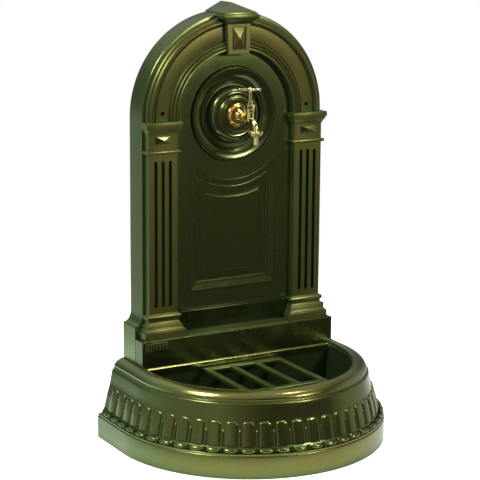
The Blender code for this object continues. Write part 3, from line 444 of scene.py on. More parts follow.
def build_frieze():
    """Leaning outer wall of the basin, from the fillet under the beads to the groove under the rim."""
    foot = BASE_TOP + 0.0003
    line = [(BASE_RADIUS - 0.002, foot, 0), (BASE_RADIUS - 0.0015, foot + 0.0035, 0.0012),
            (BASE_RADIUS - 0.01, foot + 0.0045, 0.003), (BASE_RADIUS - 0.014, foot + 0.012, 0.004)]
    line += [(radius, z, 0.012) for z, radius in frieze_line()]
    inner = BASE_RADIUS - 0.068
    line += [(0.2755, FRIEZE_TOP, 0.0006), (inner, FRIEZE_TOP, 0), (inner, foot, 0)]
    bm = basin_sweep(fillet(line, 3, True), steps=125)
    add_box(bm, (-0.27, WALL_Y - 0.01, foot), (0.27, WALL_Y - BACK_STEP, FRIEZE_TOP))
    add_piece("frieze", bm, "frieze_paint", ["basin_wall"])


def tongue_relief(half, bottom, top, corner, rise, columns, rows):
    """A raised leaf in flat places (along, out, z): rounded head, crowned face, buried edge."""
    bm = bmesh.new()
    bmesh.ops.create_grid(bm, x_segments=columns, y_segments=rows, size=1.0)
    for vert in bm.verts:
        u = math.sin(vert.co.x * math.pi / 2)
        v = (1 + math.sin(vert.co.y * math.pi / 2)) / 2
        beyond = max(0.0, abs(u) * half - (half - corner))
        head = top - corner + math.sqrt(max(0.0, corner ** 2 - beyond ** 2))
        edge = min(1.0, (1 - abs(u)) * half / 0.003, (1 - v) * (head - bottom) / 0.0032)
        crown = rise * (0.72 + 0.28 * (1 - u * u))
        vert.co = (u * half, crown * math.sqrt(1 - (1 - edge) ** 2) - 0.0004, bottom + (head - bottom) * v)
    rim = [edge for edge in bm.edges if edge.is_boundary]
    cap(bm, push(bm, rim, (0, -0.0016, 0)))
    return bm


def ellipsoid(size, columns=14, rows=9):
    """A round bead of the given half sizes, its poles at the ends along X."""
    bm = bmesh.new()
    bmesh.ops.create_uvsphere(bm, u_segments=columns, v_segments=rows, radius=1.0,
                              matrix=Matrix.Rotation(math.pi / 2, 4, "Y"))
    bmesh.ops.scale(bm, vec=size, verts=bm.verts)
    return bm


def repeat_on_frieze(pattern, places, out=0.0, z=0.0):
    """Copies of a flat pattern bent onto the frieze at each place along it."""
    bm = bmesh.new()
    mesh = bpy.data.meshes.new("pattern")
    pattern.to_mesh(mesh)
    pattern.free()
    for place in places:
        start = len(bm.verts)
        bm.from_mesh(mesh)
        bm.verts.ensure_lookup_table()
        for vert in bm.verts[start:]:
            vert.co = on_frieze(place + vert.co.x, vert.co.y + out, vert.co.z + z)
    bpy.data.meshes.remove(mesh)
    return bm


def build_tongues():
    """Tongues, darts, long beads and reels, all round the front and on along both sides."""
    size = sizes()
    pitch = math.pi * frieze_line()[0][1] / size.tongues
    last = (size.tongues - 1) // 2 + int((WALL_Y - BASIN_Y - size.tongue_width / 2) / pitch + 0.5)
    whole = [i * pitch for i in range(-last, last + 1)]
    between = [(i - 0.5) * pitch for i in range(-last, last + 2)]
    foot = frieze_line()[0][0] + 0.0005
    tongue = tongue_relief(size.tongue_width / 2, foot, size.tongue_top, 0.0095, size.tongue_rise, 12, 14)
    add_piece("frieze_tongues", repeat_on_frieze(tongue, whole), "frieze_paint", sharp=60)
    dart = tongue_relief(0.0028, foot, size.dart_top, 0.0027, size.tongue_rise * 0.8, 6, 8)
    add_piece("frieze_darts", repeat_on_frieze(dart, between[1:-1]), "frieze_paint", sharp=60)
    bead_z = BASE_TOP + 0.0095
    bead = ellipsoid((0.015, size.bead, size.bead))
    add_piece("frieze_beads", repeat_on_frieze(bead, whole, 0.0085, bead_z), "frieze_paint")
    reel = ellipsoid((0.0014, size.bead * 1.15, size.bead * 1.25), 10, 6)
    pairs = [place + side * 0.0017 for place in between[1:-1] for side in (-1, 1)]
    add_piece("frieze_reels", repeat_on_frieze(reel, pairs, 0.0075, bead_z), "frieze_paint")


def build_rim():
    """Rolled rim with a fillet below it, and the shelf that the plinth stands on."""
    lip = sizes().lip
    crest = lip + 0.0135
    under = FRIEZE_TOP + 0.0003
    shelf = PLINTH_LOW.z
    profile = fillet([(lip + 0.0015, under, 0), (0.276, under, 0.0008), (0.2768, under + 0.0018, 0.0006),
                      (0.2738, under + 0.0026, 0.0004), (0.2745, under + 0.0075, 0.05),
                      (0.268, RIM_TOP - 0.0055, 0.05), (crest, RIM_TOP + 0.0016, 0.05),
                      (lip + 0.0025, RIM_TOP - 0.003, 0.05), (lip, RIM_TOP - 0.01, 0.002)], 6, True)
    bm = basin_sweep(profile, steps=125)
    front = PLINTH_LOW.y - 0.003
    back = WALL_Y - BACK_STEP
    section = fillet([(front, under, 0), (front, shelf, 0.0045), (back, shelf, 0), (back, under, 0)], 6, True)
    merge(bm, prism([(-crest, y, z) for y, z in section], (2 * crest, 0, 0)))
    add_piece("rim_roll", bm, "rim_paint", ["basin_rim"], sharp=40)


def build_bowl():
    """Inside of the basin: a tub with a flat back under the plinth."""
    size = sizes()
    floor = size.bowl_floor
    profile = fillet([(0.0, floor, 0), (size.lip - 0.006, floor, 0.022), (size.lip + 0.001, 0.166, 0)], 6)
    back_y = PLINTH_LOW.y - 0.0022
    bm = basin_sweep(profile, back_y, closed=False)
    rim = [edge for edge in bm.edges if edge.is_boundary
           and all(abs(vert.co.y - back_y) < 1e-5 for vert in edge.verts)]
    bmesh.ops.contextual_create(bm, geom=verts_of(rim))
    thicken(bm, -0.004)
    # Its near-black paint is painted shade inside the basin.
    add_piece("bowl", bm, "painted_shade_paint")


def build_grille():
    """Four bars with rounded tops between two cross bars; the lugs inside the bowl are not built."""
    (x_a, y_a, z_a), (x_b, y_b, z_b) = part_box("bucket_grille")
    bar, count = 0.016, 4
    pitch = (x_b - x_a - bar) / (count - 1)
    bm = bmesh.new()
    for i in range(count):
        x = x_a + bar / 2 + i * pitch
        add_box(bm, (x - bar / 2, y_a + 0.001, z_a), (x + bar / 2, y_b - 0.001, z_b), 0.0024)
    for y in (y_a, y_b - bar):
        add_box(bm, (x_a, y, z_a + 0.0004), (x_b, y + bar, z_b + 0.0003), 0.0024)
    add_piece("grille_bars", bm, "grille_paint", ["bucket_grille"])


# ---- back casing ------------------------------------------------------------
def panel_outline(half, bottom, radius, y, steps=28):
    """Loop round the lower panel: a square foot, and a head hollowed round the boss."""
    start = math.asin(half / radius)
    turns = [start - 2 * start * i / steps for i in range(steps + 1)]
    head = [(radius * math.sin(turn_by), y, SPRINGING - radius * math.cos(turn_by)) for turn_by in turns]
    return [(-half, y, bottom), (half, y, bottom)] + head


def build_casing():
    """Hollow arched casting: a front sheet with its pockets, and the flanks behind it."""
    bm = bmesh.new()
    bottom = low("casing").z
    edge = 0.0022
    y = FIELD_Y
    half = CASING_HALF - edge
    start = bm.verts.new((-half, y, bottom))
    tip = bm.verts.new((-half, y, SPRINGING))
    bm.edges.new((start, tip))
    made = bmesh.ops.spin(bm, geom=[tip], cent=(0, y, SPRINGING), axis=(0, 1, 0), angle=math.pi,
                          steps=96)["geom_last"]
    end = [item for item in made if isinstance(item, bmesh.types.BMVert)][0]
    far = bm.verts.new((half, y, bottom))
    bm.edges.new((end, far))
    bm.edges.new((far, start))
    flank = bm.edges[:]
    clear = 0.0003
    wire(bm, panel_outline(high("panel_frame").x + clear, low("panel_frame").z - clear, PANEL_HEAD, y))
    bmesh.ops.create_circle(bm, segments=96, radius=high("boss_outer_ring").x - 0.0005,
                            matrix=to_front((0, y, SPRINGING)))
    bmesh.ops.triangle_fill(bm, edges=bm.edges[:], use_beauty=True, use_dissolve=False,
                            normal=(0, -1, 0))
    steps = 4
    for i in range(1, steps + 1):
        turn_a, turn_b = (math.pi / 2 * k / steps for k in (i - 1, i))
        out = edge * (math.sin(turn_b) - math.sin(turn_a))
        drop = edge * (math.cos(turn_a) - math.cos(turn_b))
        flank = push(bm, flank, (0, drop, 0))
        widen_arch(flank, out)
    push(bm, flank, (0, WALL_Y - FIELD_Y - edge, 0))
    bmesh.ops.remove_doubles(bm, verts=bm.verts, dist=SEAM)
    thicken(bm, CASTING)
    add_piece("casing_shell", bm, "field_paint", ["casing"], sharp=12)


def widen_arch(edges, out):
    """Move a loop of the arch's outline outwards."""
    for vert in verts_of(edges):
        arm = Vector((vert.co.x, 0, max(0.0, vert.co.z - SPRINGING)))
        vert.co += arm.normalized() * out


def build_casing_foot():
    """Square foot of the back casting, which draws in to the flanks with a hollow curve."""
    (_, y_a, z_a), (x_b, y_b, z_b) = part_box("casing_foot")
    cove = z_b - 0.028
    right = [(x_b, z_a, 0.0), (x_b, cove, 0.0012), (x_b - 0.0015, cove + 0.002, 0.0006)]
    steps = 8
    for i in range(1, steps + 1):
        angle = math.pi / 2 * i / steps
        right.append((x_b - 0.0015 - (x_b - 0.0015 - CASING_HALF) * math.sin(angle),
                      cove + 0.002 + (z_b - cove - 0.002) * (1 - math.cos(angle)), 0.0))
    half = fillet(right, 3)
    outline = half + [(-x, z) for x, z in reversed(half)]
    bm = bmesh.new()
    loop = wire(bm, [(x, y_a + 0.0005, z) for x, z in outline])
    cap(bm, loop)
    push(bm, loop, (0, y_b - y_a - 0.0005, 0))
    thicken(bm, CASTING)
    add_piece("casing_foot_shell", bm, "flank_paint", ["casing_foot"], sharp=25)


def build_plinth():
    """Plinth block, the sloping ledge on it, and the dado with its string course."""
    bm = box(PLINTH_LOW, PLINTH_HIGH, sizes().edge)
    add_piece("plinth_block", bm, "plinth_paint", ["plinth"], weighted=True)
    (x_a, y_a, z_a), (x_b, y_b, z_b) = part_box("plinth_ledge")
    section = fillet([(y_a, z_a, 0), (y_a, z_a + 0.0012, 0.0008), (y_b, z_b, 0), (y_b, z_a, 0)], 3, True)
    ledge = prism([(x_a, y, z) for y, z in section], (x_b - x_a, 0, 0))
    add_piece("ledge_slope", ledge, "ledge_paint", ["plinth_ledge"])
    (x_a, y_a, z_a), (x_b, y_b, z_b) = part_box("dado_plate")
    out = FIELD_Y - y_a
    dado = stack((x_a + x_b) / 2, [(x_b, out, z_a, 0), (x_b, out, z_b - 0.0066, 0.0003),
                                   (x_b, out + 0.0006, z_b - 0.0062, 0.0003),
                                   (x_b, out - 0.0008, z_b - 0.005, 0.0003),
                                   (x_b, out - 0.0008, z_b - 0.0014, 0.0003),
                                   (x_b, out - 0.0034, z_b, 0.0)], FIELD_Y + 0.001)
    add_piece("dado_moulding", dado, "dado_paint", ["dado_plate"])


def build_name_plate():
    """Small blank plate with a raised border and plain upright ribs."""
    (x_a, y_a, z_a), (x_b, y_b, z_b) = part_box("name_plate")
    bm = box((x_a, y_a, z_a), (x_b, y_b, z_b), 0.0004, 2)
    border = 0.0018
    hollow = box((x_a + border, y_a - 0.004, z_a + border), (x_b - border, y_b - 0.0003, z_b - border))
    bm = cut(bm, hollow)
    ribs, clear = 7, 0.0055
    for i in range(ribs):
        x = x_a + clear + (x_b - x_a - 2 * clear) * i / (ribs - 1)
        add_box(bm, (x - 0.0016, y_a + 0.0001, z_a + 0.0036), (x + 0.0016, y_b - 0.0001, z_b - 0.0036),
                0.0003, 2)
    add_piece("blank_plate", bm, "plate_paint", ["name_plate"])
    # Painted shade: a dark sheet fills the plate's hollow to darken it.
    shade_sheet = box((x_a + border, y_b - 0.0004, z_a + border), (x_b - border, y_b, z_b - border))
    add_piece("plate_painted_shade", shade_sheet, "painted_shade_paint")


# ---- pilasters --------------------------------------------------------------
def build_pilaster(side):
    """One fluted pilaster: block, base moulding, shaft, astragal, neck with its diamond, capital."""
    size = sizes()
    (x_a, y_a, _), (x_b, _, _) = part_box("base_block_" + side)
    x = (x_a + x_b) / 2
    half, out = (x_b - x_a) / 2, FIELD_Y - y_a
    back = FIELD_Y + 0.0005
    shaft_half, shaft_out = (high("shaft_" + side).x - low("shaft_" + side).x) / 2, 0.018

    def add_level(name, node, levels, corner=0.0008):
        """Store one storey of the pilaster."""
        add_piece(name + side, stack(x, levels, back, corner), "pilaster_paint", [node + side])

    z_a, z_b = heights("base_block_" + side)
    add_level("block_", "base_block_", [(half, out, z_a, 0), (half, out, z_b - 0.0004, 0.0012),
                                        (half - 0.004, out - 0.004, z_b, 0)], 0.0012)
    z, top = heights("base_moulding_" + side)
    add_level("moulding_", "base_moulding_", [
        (0.049, 0.029, z - 0.0008, 0), (0.049, 0.029, z + 0.0016, 0.0008),
        (0.0462, 0.0278, z + 0.003, 0.0008), (0.044, 0.0268, z + 0.0086, 0.003),
        (0.0436, 0.0264, z + 0.0128, 0.0012), (0.0405, 0.0232, z + 0.0146, 0.0012),
        (0.0385, 0.0205, z + 0.019, 0.004), (0.0392, 0.0205, z + 0.0252, 0.002),
        (0.0424, 0.0228, z + 0.0272, 0.0012), (0.0432, 0.0238, z + 0.0312, 0.003),
        (0.0418, 0.0222, z + 0.0352, 0.002), (shaft_half + 0.0008, shaft_out + 0.0008, top - 0.0012, 0.001),
        (shaft_half, shaft_out, top, 0)])
    (_, y_a, z_a), (_, _, z_b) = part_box("shaft_" + side)
    shaft = stack(x, [(shaft_half, shaft_out, z_a, 0), (shaft_half, shaft_out, z_b, 0)], back, 0.0012)
    flutes = bmesh.new()
    width, deep = size.flute_width, size.flute_depth
    for i in (-1, 0, 1):
        centre = x + i * 0.0179
        add_box(flutes, (centre - width / 2, y_a - 0.01, z_a + 0.0145),
                (centre + width / 2, y_a + deep, z_b - 0.016), 0.0024)
    add_piece("fluted_shaft_" + side, cut(shaft, flutes), "pilaster_paint", ["shaft_" + side], sharp=28,
              weighted=True)
    z_a, z_b = heights("astragal_" + side)
    middle, reach = (z_a + z_b) / 2, (z_b - z_a) / 2
    add_level("astragal_ring_", "astragal_", [
        (shaft_half, shaft_out, z_a - 0.0008, 0), (0.0418, 0.0226, middle - reach * 0.7, 0.0012),
        (0.0424, 0.0232, middle, 0.0025), (0.0418, 0.0226, middle + reach * 0.7, 0.0012),
        (shaft_half, shaft_out, z_b + 0.0006, 0)])
    z_a, z_b = heights("neck_block_" + side)
    add_level("neck_", "neck_block_", [(shaft_half, shaft_out, z_a, 0), (shaft_half, shaft_out, z_b, 0)],
              0.0012)
    add_piece("neck_diamond_" + side, pyramid(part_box("diamond_" + side)), "gilt_paint",
              ["diamond_" + side], sharp=12)
    z_a, z_b = heights("capital_" + side)
    add_level("capital_block_", "capital_", [
        (shaft_half, shaft_out, z_a - 0.0006, 0), (0.0378, 0.0198, z_a + 0.0006, 0.0005),
        (0.0378, 0.0198, z_a + 0.003, 0.0006), (0.0388, 0.0208, z_a + 0.004, 0.0005),
        (0.0402, 0.0236, z_a + 0.008, 0.004), (0.0425, 0.0256, z_a + 0.011, 0.001),
        (0.0425, 0.0256, z_a + 0.0148, 0.0006), (0.045, 0.0288, z_a + 0.0152, 0.0006),
        (0.045, 0.0288, z_b - 0.0002, 0.001), (0.04, 0.024, z_b, 0)], 0.001)


def pyramid(corners, soften=0.0003):
    """A low four-sided pyramid that fills a box, its point towards the viewer."""
    (x_a, y_a, z_a), (x_b, y_b, z_b) = corners
    bm = bmesh.new()
    matrix = (Matrix.Translation(((x_a + x_b) / 2, (y_a + y_b) / 2, (z_a + z_b) / 2))
              @ Matrix.Diagonal(((x_b - x_a) / 2, y_b - y_a, (z_b - z_a) / 2, 1))
              @ Matrix.Rotation(math.pi / 2, 4, "X") @ Matrix.Rotation(math.pi / 4, 4, "Z"))
    bmesh.ops.create_cone(bm, cap_ends=True, segments=4, radius1=math.sqrt(2), radius2=0, depth=1,
                          matrix=matrix)
    bevel(bm, bm.edges[:], soften, 2)
    return bm


# ---- panel and boss ---------------------------------------------------------
def build_panel():
    """Lower panel: sunk mouldings that step down to a flat margin, and a raised field."""
    half, bottom = high("panel_frame").x, low("panel_frame").z
    sunk = fillet([(-0.0006, -0.004, 0), (0.0003, -0.004, 0), (0.0003, 0.001, 0.0009),
                   (0.003, 0.001, 0.0011), (0.0036, -0.001, 0.0002), (0.0068, -0.001, 0.0012),
                   (0.0074, -0.0034, 0.0002),
                   (0.0104, -0.0034, 0.0012), (0.011, -0.0054, 0.0002), (0.0138, -0.0054, 0.0011),
                   (0.0144, -0.0074, 0.0002), (0.0166, -0.0074, 0.0003), (0.0174, -0.0056, 0.0008),
                   (0.0194, -0.0056, 0.0009), (0.02, -0.009, 0.0002)], 3)
    loops = [panel_outline(half - inset, bottom + inset, PANEL_HEAD + inset, FIELD_Y - rise)
             for inset, rise in sunk]
    half, bottom = high("panel_field").x, low("panel_field").z
    raised = fillet([(0.0, -0.009, 0), (0.0008, -0.0098, 0.0004), (0.0016, -0.0088, 0.0004),
                     (0.0026, -0.006, 0.001), (0.004, -0.0052, 0.0006), (0.0046, -0.005, 0)], 3)
    loops += [panel_outline(half - inset, bottom + inset, PANEL_HEAD + 0.038 + inset, FIELD_Y - rise)
              for inset, rise in raised]
    bm = bmesh.new()
    first = wire(bm, loops[0])
    edges = first
    for before, after in zip(loops, loops[1:]):
        edges = push(bm, edges, (0, 0, 0))
        redraw(edges, before, after)
    cap(bm, edges)
    cap(bm, push(bm, first, (0, 0.01, 0)))
    add_piece("panel", bm, "panel_paint", ["panel_frame", "panel_field"], sharp=24, weighted=True)


def build_boss():
    """Round boss: convex outer ring, thin ridge, torus and a stepped centre."""
    base = (0, FIELD_Y, SPRINGING)
    outer = high("boss_outer_ring").x
    back = -0.0095
    ring = fillet([(0.0745, back, 0), (0.0745, -0.005, 0.0004), (0.0772, -0.005, 0.0004),
                   (0.081, -0.0014, 0.012), (0.0862, 0.0024, 0.03), (0.0915, 0.0052, 0.03),
                   (0.0965, 0.007, 0.03), (0.101, 0.0079, 0.02), (0.1066, 0.008, 0.0008),
                   (0.1078, 0.005, 0.0008), (0.1082, -0.0065, 0.0005),
                   (outer - 0.0002, -0.0065, 0.0003), (outer, back, 0)], 8, True)
    add_piece("boss_ring", turned(ring, base, closed=True, steps=128), "boss_paint", ["boss_outer_ring"])
    torus = fillet([(0.044, back, 0), (0.044, 0.0105, 0.001), (0.0452, 0.0148, 0.002),
                    (0.05, 0.016, 0.012), (0.056, 0.0136, 0.014), (0.0606, 0.0086, 0.01),
                    (0.0636, 0.002, 0.008), (0.0648, -0.008, 0.001), (0.0706, -0.0084, 0.001),
                    (0.0716, -0.0028, 0.0006), (0.0734, -0.0026, 0.0006), (0.0742, -0.0046, 0.0005),
                    (0.0742, -0.007, 0), (0.0752, -0.007, 0), (0.0752, back, 0)], 8, True)
    add_piece("boss_torus", turned(torus, base, closed=True, steps=128), "boss_paint", ["boss_inner_ring"])
    top = FIELD_Y - BOSS_Y
    centre = fillet([(0.0, back, 0), (0.0455, back, 0), (0.0455, top - 0.0055, 0.0008),
                     (0.044, top - 0.003, 0.001), (0.0424, top - 0.003, 0.0004),
                     (0.0416, top - 0.0008, 0.0006), (0.0392, top - 0.0004, 0.0006),
                     (0.0386, top - 0.0018, 0.0004), (0.0366, top - 0.0018, 0.0004),
                     (0.0358, top + 0.0002, 0.0005), (0.034, top, 0.0004), (0.0, top, 0)], 3)
    add_piece("boss_core", turned(centre, base, steps=128), "boss_paint", ["boss_centre"])


# ---- arch and keystone ------------------------------------------------------
def build_archivolt():
    """Moulded arch from capital to capital: outer roll, plain band and three inner beads."""
    foot = low("archivolt_left").z
    section = fillet([
        (0.147, -0.0005, 0), (0.147, 0.0175, 0.0015), (0.1488, 0.0196, 0.0012), (0.1518, 0.0192, 0.0012),
        (0.1532, 0.016, 0.0004), (0.155, 0.0168, 0.0008), (0.1572, 0.0178, 0.0012),
        (0.1596, 0.016, 0.001), (0.1608, 0.0134, 0.0004), (0.1626, 0.0142, 0.0008),
        (0.1648, 0.015, 0.0012), (0.1672, 0.0134, 0.0012), (0.1688, 0.0092, 0.0005),
        (0.171, 0.0092, 0.0004), (0.1716, 0.0112, 0.0005), (0.2022, 0.0112, 0.0006),
        (0.203, 0.0092, 0.0004), (0.2044, 0.0092, 0.0008), (0.2066, 0.0148, 0.003),
        (0.2108, 0.0168, 0.004), (0.2148, 0.014, 0.003), (0.2164, 0.01, 0.0008),
        (0.219, 0.0104, 0.001), (0.2212, 0.0098, 0.0012), (0.2232, 0.006, 0.002),
        (0.224, -0.0005, 0)], 4, True)
    bm = horseshoe([(-r, FIELD_Y - h, foot) for r, h in section], (0, 0, SPRINGING - foot),
                   (0, FIELD_Y, SPRINGING), (0, 1, 0), 128)
    holes = bmesh.new()
    for side in (-1, 1):
        bmesh.ops.create_cone(holes, cap_ends=True, segments=24, radius1=0.0043, radius2=0.0043, depth=0.03,
                              matrix=to_front((side * 0.1855, FIELD_Y - 0.0056, SPRINGING + 0.0135)))
    add_piece("arch", cut(bm, holes), "arch_paint", ["archivolt_left", "archivolt_right"], sharp=30)


def build_keystone():
    """Wedge-shaped keystone with a sunk face and a pointed block in it."""
    (x_a, y_a, z_a), (x_b, y_b, z_b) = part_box("keystone_block")
    low_half = 0.0269
    bm = prism([(-low_half, y_b, z_a), (low_half, y_b, z_a), (x_b, y_b, z_b), (x_a, y_b, z_b)],
               (0, y_a - y_b, 0))
    bevel(bm, [edge for edge in bm.edges if any(vert.co.y < y_a + 1e-5 for vert in edge.verts)], sizes().edge)
    recess_half, recess_z = 0.0178, 0.0268
    middle = sum(heights("keystone_diamond")) / 2
    hollow = box((-recess_half, y_a - 0.01, middle - recess_z),
                 (recess_half, y_a + 0.0026, middle + recess_z))
    add_piece("keystone", cut(bm, hollow), "keystone_paint", ["keystone_block"], sharp=28, weighted=True)
    corner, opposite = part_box("keystone_diamond")
    margin = Vector((0.0016, 0, 0.002))
    add_piece("keystone_point", pyramid((corner + margin, opposite - margin), 0.0004), "keystone_paint",
              ["keystone_diamond"], sharp=12)


def build_cap():
    """Moulded cap over the keystone, with a hipped roof that runs back to the wall."""
    z, top = heights("keystone_cap")
    half, out = high("keystone_cap").x, FIELD_Y - low("keystone_cap").y
    steps_in = ((0.0135, 0.0095, -0.0003, 0), (0.013, 0.009, 0.003, 0.0005),
                (0.011, 0.0075, 0.004, 0.0005), (0.01, 0.0066, 0.007, 0.002),
                (0.0045, 0.003, 0.0112, 0.002), (0.003, 0.002, 0.0124, 0.0004), (0, 0, 0.013, 0.0006),
                (0, 0, 0.0204, 0.001), (0.0025, 0.0025, 0.0206, 0.0004), (0.003, 0.003, 0.0226, 0.0006),
                (0.0048, 0.0048, 0.0228, 0.0004), (0.005, 0.005, 0.0252, 0.0006))
    levels = [(half - side, out - front, z + rise, radius) for side, front, rise, radius in steps_in]
    bm = stack(0.0, levels + [(0.0016, -0.016, top, 0)], WALL_Y - 0.0005)
    add_piece("cap", bm, "cap_paint", ["keystone_cap"], sharp=25)


# ---- tap --------------------------------------------------------------------
def build_rosette():
    """Domed flange on the boss, its collar, turned round here, and the inlet pipe."""
    base = (0, BOSS_Y - 0.0003, SPRINGING)
    radius = high("tap_rosette").x
    thick = high("tap_rosette").y - low("tap_rosette").y
    flange = fillet([(0.0, 0, 0), (radius - 0.0008, 0, 0), (radius, 0.0012, 0.0008),
                     (radius - 0.0012, 0.0034, 0.001), (radius - 0.0035, 0.0036, 0.001),
                     (radius - 0.006, 0.0064, 0.004), (radius - 0.012, thick - 0.0006, 0.008),
                     (0.0135, thick, 0.001), (0.0, thick, 0)], 5)
    add_brass("tap_flange", turned(flange, base), ["tap_rosette"], "flange_brass")
    y = high("tap_collar").y
    collar = fillet([(0.0, 0, 0), (0.0122, 0, 0.0), (0.0125, 0.0025, 0.0012), (0.0106, 0.004, 0.001),
                     (0.0106, 0.0078, 0.001), (0.009, 0.009, 0.001), (0.0, 0.009, 0)], 4)
    add_brass("tap_neck", turned(collar, (0, y, SPRINGING), steps=64), ["tap_collar"])
    y, end = high("tap_inlet").y, low("tap_inlet").y
    pipe = fillet([(0.0, 0, 0), (0.0078, 0, 0), (0.0078, 0.003, 0.001), (0.0064, 0.006, 0.003),
                   (0.0064, y - end - 0.006, 0.003), (0.0082, y - end, 0), (0.0, y - end, 0)], 4)
    add_brass("tap_pipe", turned(pipe, (0, y, SPRINGING), steps=48), ["tap_inlet"])


def build_valve():
    """Valve body, hexagonal bonnet and gland nut on the tap's upright axis."""
    axis = (0, SPINDLE_Y, 0)
    z_a, z_b = heights("tap_valve")
    body = fillet([(0.0, z_a - 0.0008, 0), (0.0052, z_a, 0.003), (0.0088, z_a + 0.005, 0.005),
                   (0.0096, z_a + 0.012, 0.006), (0.009, z_a + 0.019, 0.004),
                   (0.0084, z_a + 0.024, 0.001), (0.0101, z_a + 0.0252, 0.0008),
                   (0.0101, z_b, 0.0006), (0.0, z_b, 0)], 5)
    add_brass("tap_body", turned_up(body, axis, 64), ["tap_valve"])
    seal = fillet([(0.0, z_b - 0.0016, 0), (0.0106, z_b - 0.0016, 0.0006), (0.0106, z_b + 0.0002, 0.0006),
                   (0.0, z_b + 0.0002, 0)], 3)
    add_brass("tap_seal", turned_up(seal, axis, 64), material="flange_brass")
    add_brass("tap_bonnet_nut", hexagon(0.0112, axis, *heights("tap_bonnet")), ["tap_bonnet"])
    add_brass("tap_gland_nut", hexagon(0.0064, axis, *heights("tap_gland"), 0.0036), ["tap_gland"])


def level_edges(bm):
    """Edges whose two ends are at one height."""
    return [edge for edge in bm.edges if abs(edge.verts[0].co.z - edge.verts[1].co.z) < SEAM]


def hexagon(radius, axis, z_a, z_b, bore=0.0):
    """A hexagonal nut with rounded edges, and a bore if one is given."""
    rounding = 0.0009
    bm = bmesh.new()
    bmesh.ops.create_cone(bm, cap_ends=True, segments=6, radius1=radius, radius2=radius, depth=z_b - z_a,
                          matrix=Matrix.Translation((axis[0], axis[1], (z_a + z_b) / 2)))
    flat = level_edges(bm)
    bevel(bm, [edge for edge in bm.edges if edge not in flat], rounding)
    bevel(bm, level_edges(bm), rounding)
    if bore:
        line = [(0.0, z_a - 0.01), (bore, z_a - 0.01), (bore, z_b + 0.01), (0.0, z_b + 0.01)]
        bm = cut(bm, turned_up(line, axis, 32))
    return bm


def build_spout():
    """Spout that leaves the valve low, swells and turns down into the union nut."""
    y_start = SPINDLE_Y - 0.006
    z_start = SPRINGING - 0.003
    bend = y_start - SPOUT_Y
    bm = bmesh.new()
    bmesh.ops.create_circle(bm, segments=32, radius=0.006,
                            matrix=to_front((0, y_start, z_start)))
    edges = bm.edges[:]
    cap(bm, edges)
    edges = turn(bm, edges, (0, y_start, z_start - bend), (1, 0, 0), math.pi / 2, 20)
    bmesh.ops.scale(bm, vec=(1.08, 1.08, 1), space=Matrix.Translation((0, -SPOUT_Y, 0)),
                    verts=verts_of(edges))
    drop = high("union_nut").z - (z_start - bend)
    if drop < 0:
        edges = push(bm, edges, (0, 0, drop))
    cap(bm, edges)
    add_brass("tap_spout_bend", bm, ["tap_spout"], sharp=60)


def build_union():
    """Union nut with a knurled flange, and the ribbed hose tail below it."""
    axis = (0, SPOUT_Y, 0)
    z_a, z_b = heights("union_nut")
    nut = fillet([(0.0, z_a, 0), (0.0125, z_a, 0.0008), (0.0138, z_a + 0.0012, 0.0008),
                  (0.0138, z_a + 0.0042, 0.0006), (0.016, z_a + 0.0052, 0.0008),
                  (0.0164, z_a + 0.01, 0.0012), (0.012, z_b - 0.0012, 0.0012),
                  (0.0086, z_b, 0.0008), (0.0, z_b, 0)], 4)
    bm = turned_up(nut, axis, 64)
    teeth = 20
    for i in range(teeth):
        spot = Matrix.Translation(axis) @ Matrix.Rotation(2 * math.pi * i / teeth, 4, "Z")
        bmesh.ops.create_uvsphere(bm, u_segments=8, v_segments=6, radius=1.0,
                                  matrix=spot @ Matrix.Translation((0.0158, 0, z_a + 0.0076))
                                  @ Matrix.Diagonal((0.0013, 0.0016, 0.0028, 1)))
    add_brass("union_ring", bm, ["union_nut"], sharp=40)
    z_b = z_a
    z_a = low("hose_tail").z
    radius = high("hose_tail").x
    tail = [(0.0046, z_b, 0), (radius - 0.0004, z_b, 0)]
    ribs = 4
    pitch = (z_b - z_a - 0.002) / ribs
    for i in range(ribs):
        z = z_b - 0.001 - i * pitch
        tail += [(radius - 0.0009, z - 0.0006, 0.0004), (radius, z - pitch + 0.0008, 0.0004)]
    tail += [(radius - 0.001, z_a, 0.0004), (0.0046, z_a, 0.0003)]
    add_brass("ribbed_tail", turned_up(fillet(tail, 2, True), axis, 48, True), ["hose_tail"])


def build_handle():
    """Spindle, hub and T-bar, which turn together."""
    z_a, z_b = heights("tap_spindle")
    axis = (0, SPINDLE_Y, 0)
    spindle = fillet([(0.0, z_a, 0), (0.0028, z_a, 0.0), (0.0028, z_a + 0.0058, 0.0004),
                      (0.0034, z_a + 0.0068, 0.0006), (0.0034, z_b - 0.003, 0.001),
                      (0.0042, z_b, 0), (0.0, z_b, 0)], 3)
    add_brass("handle_spindle", turned_up(spindle, axis, 32), ["tap_spindle"], body="handle")
    (x_a, y_a, z_a), (x_b, y_b, z_b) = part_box("tap_handle")
    reach = math.hypot(x_b - x_a, y_b - y_a) / 2
    lean = math.radians(-23.0)
    middle = (z_a + z_b) / 2
    hub = fillet([(0.0, z_a, 0), (0.004, z_a, 0.0008), (0.0052, z_a + 0.0022, 0.002),
                  (0.0056, middle, 0.003), (0.0048, z_b - 0.0022, 0.0025), (0.0022, z_b, 0.001),
                  (0.0, z_b, 0)], 4)
    bm = turned_up(hub, axis, 40)
    merge(bm, tap_bar(0.0, reach, lean, middle, ((reach - 0.0042, 0.0016), (0.009, 0.0))))
    add_brass("handle_bar", bm, ["tap_handle"], body="handle")
    ribs = [(0.007 + 0.0022 * i, 0.0005) for i in range(6)]
    add_brass("handle_grip", tap_bar(math.pi, reach, lean, middle, ribs), (), "tap_nickel", "handle")


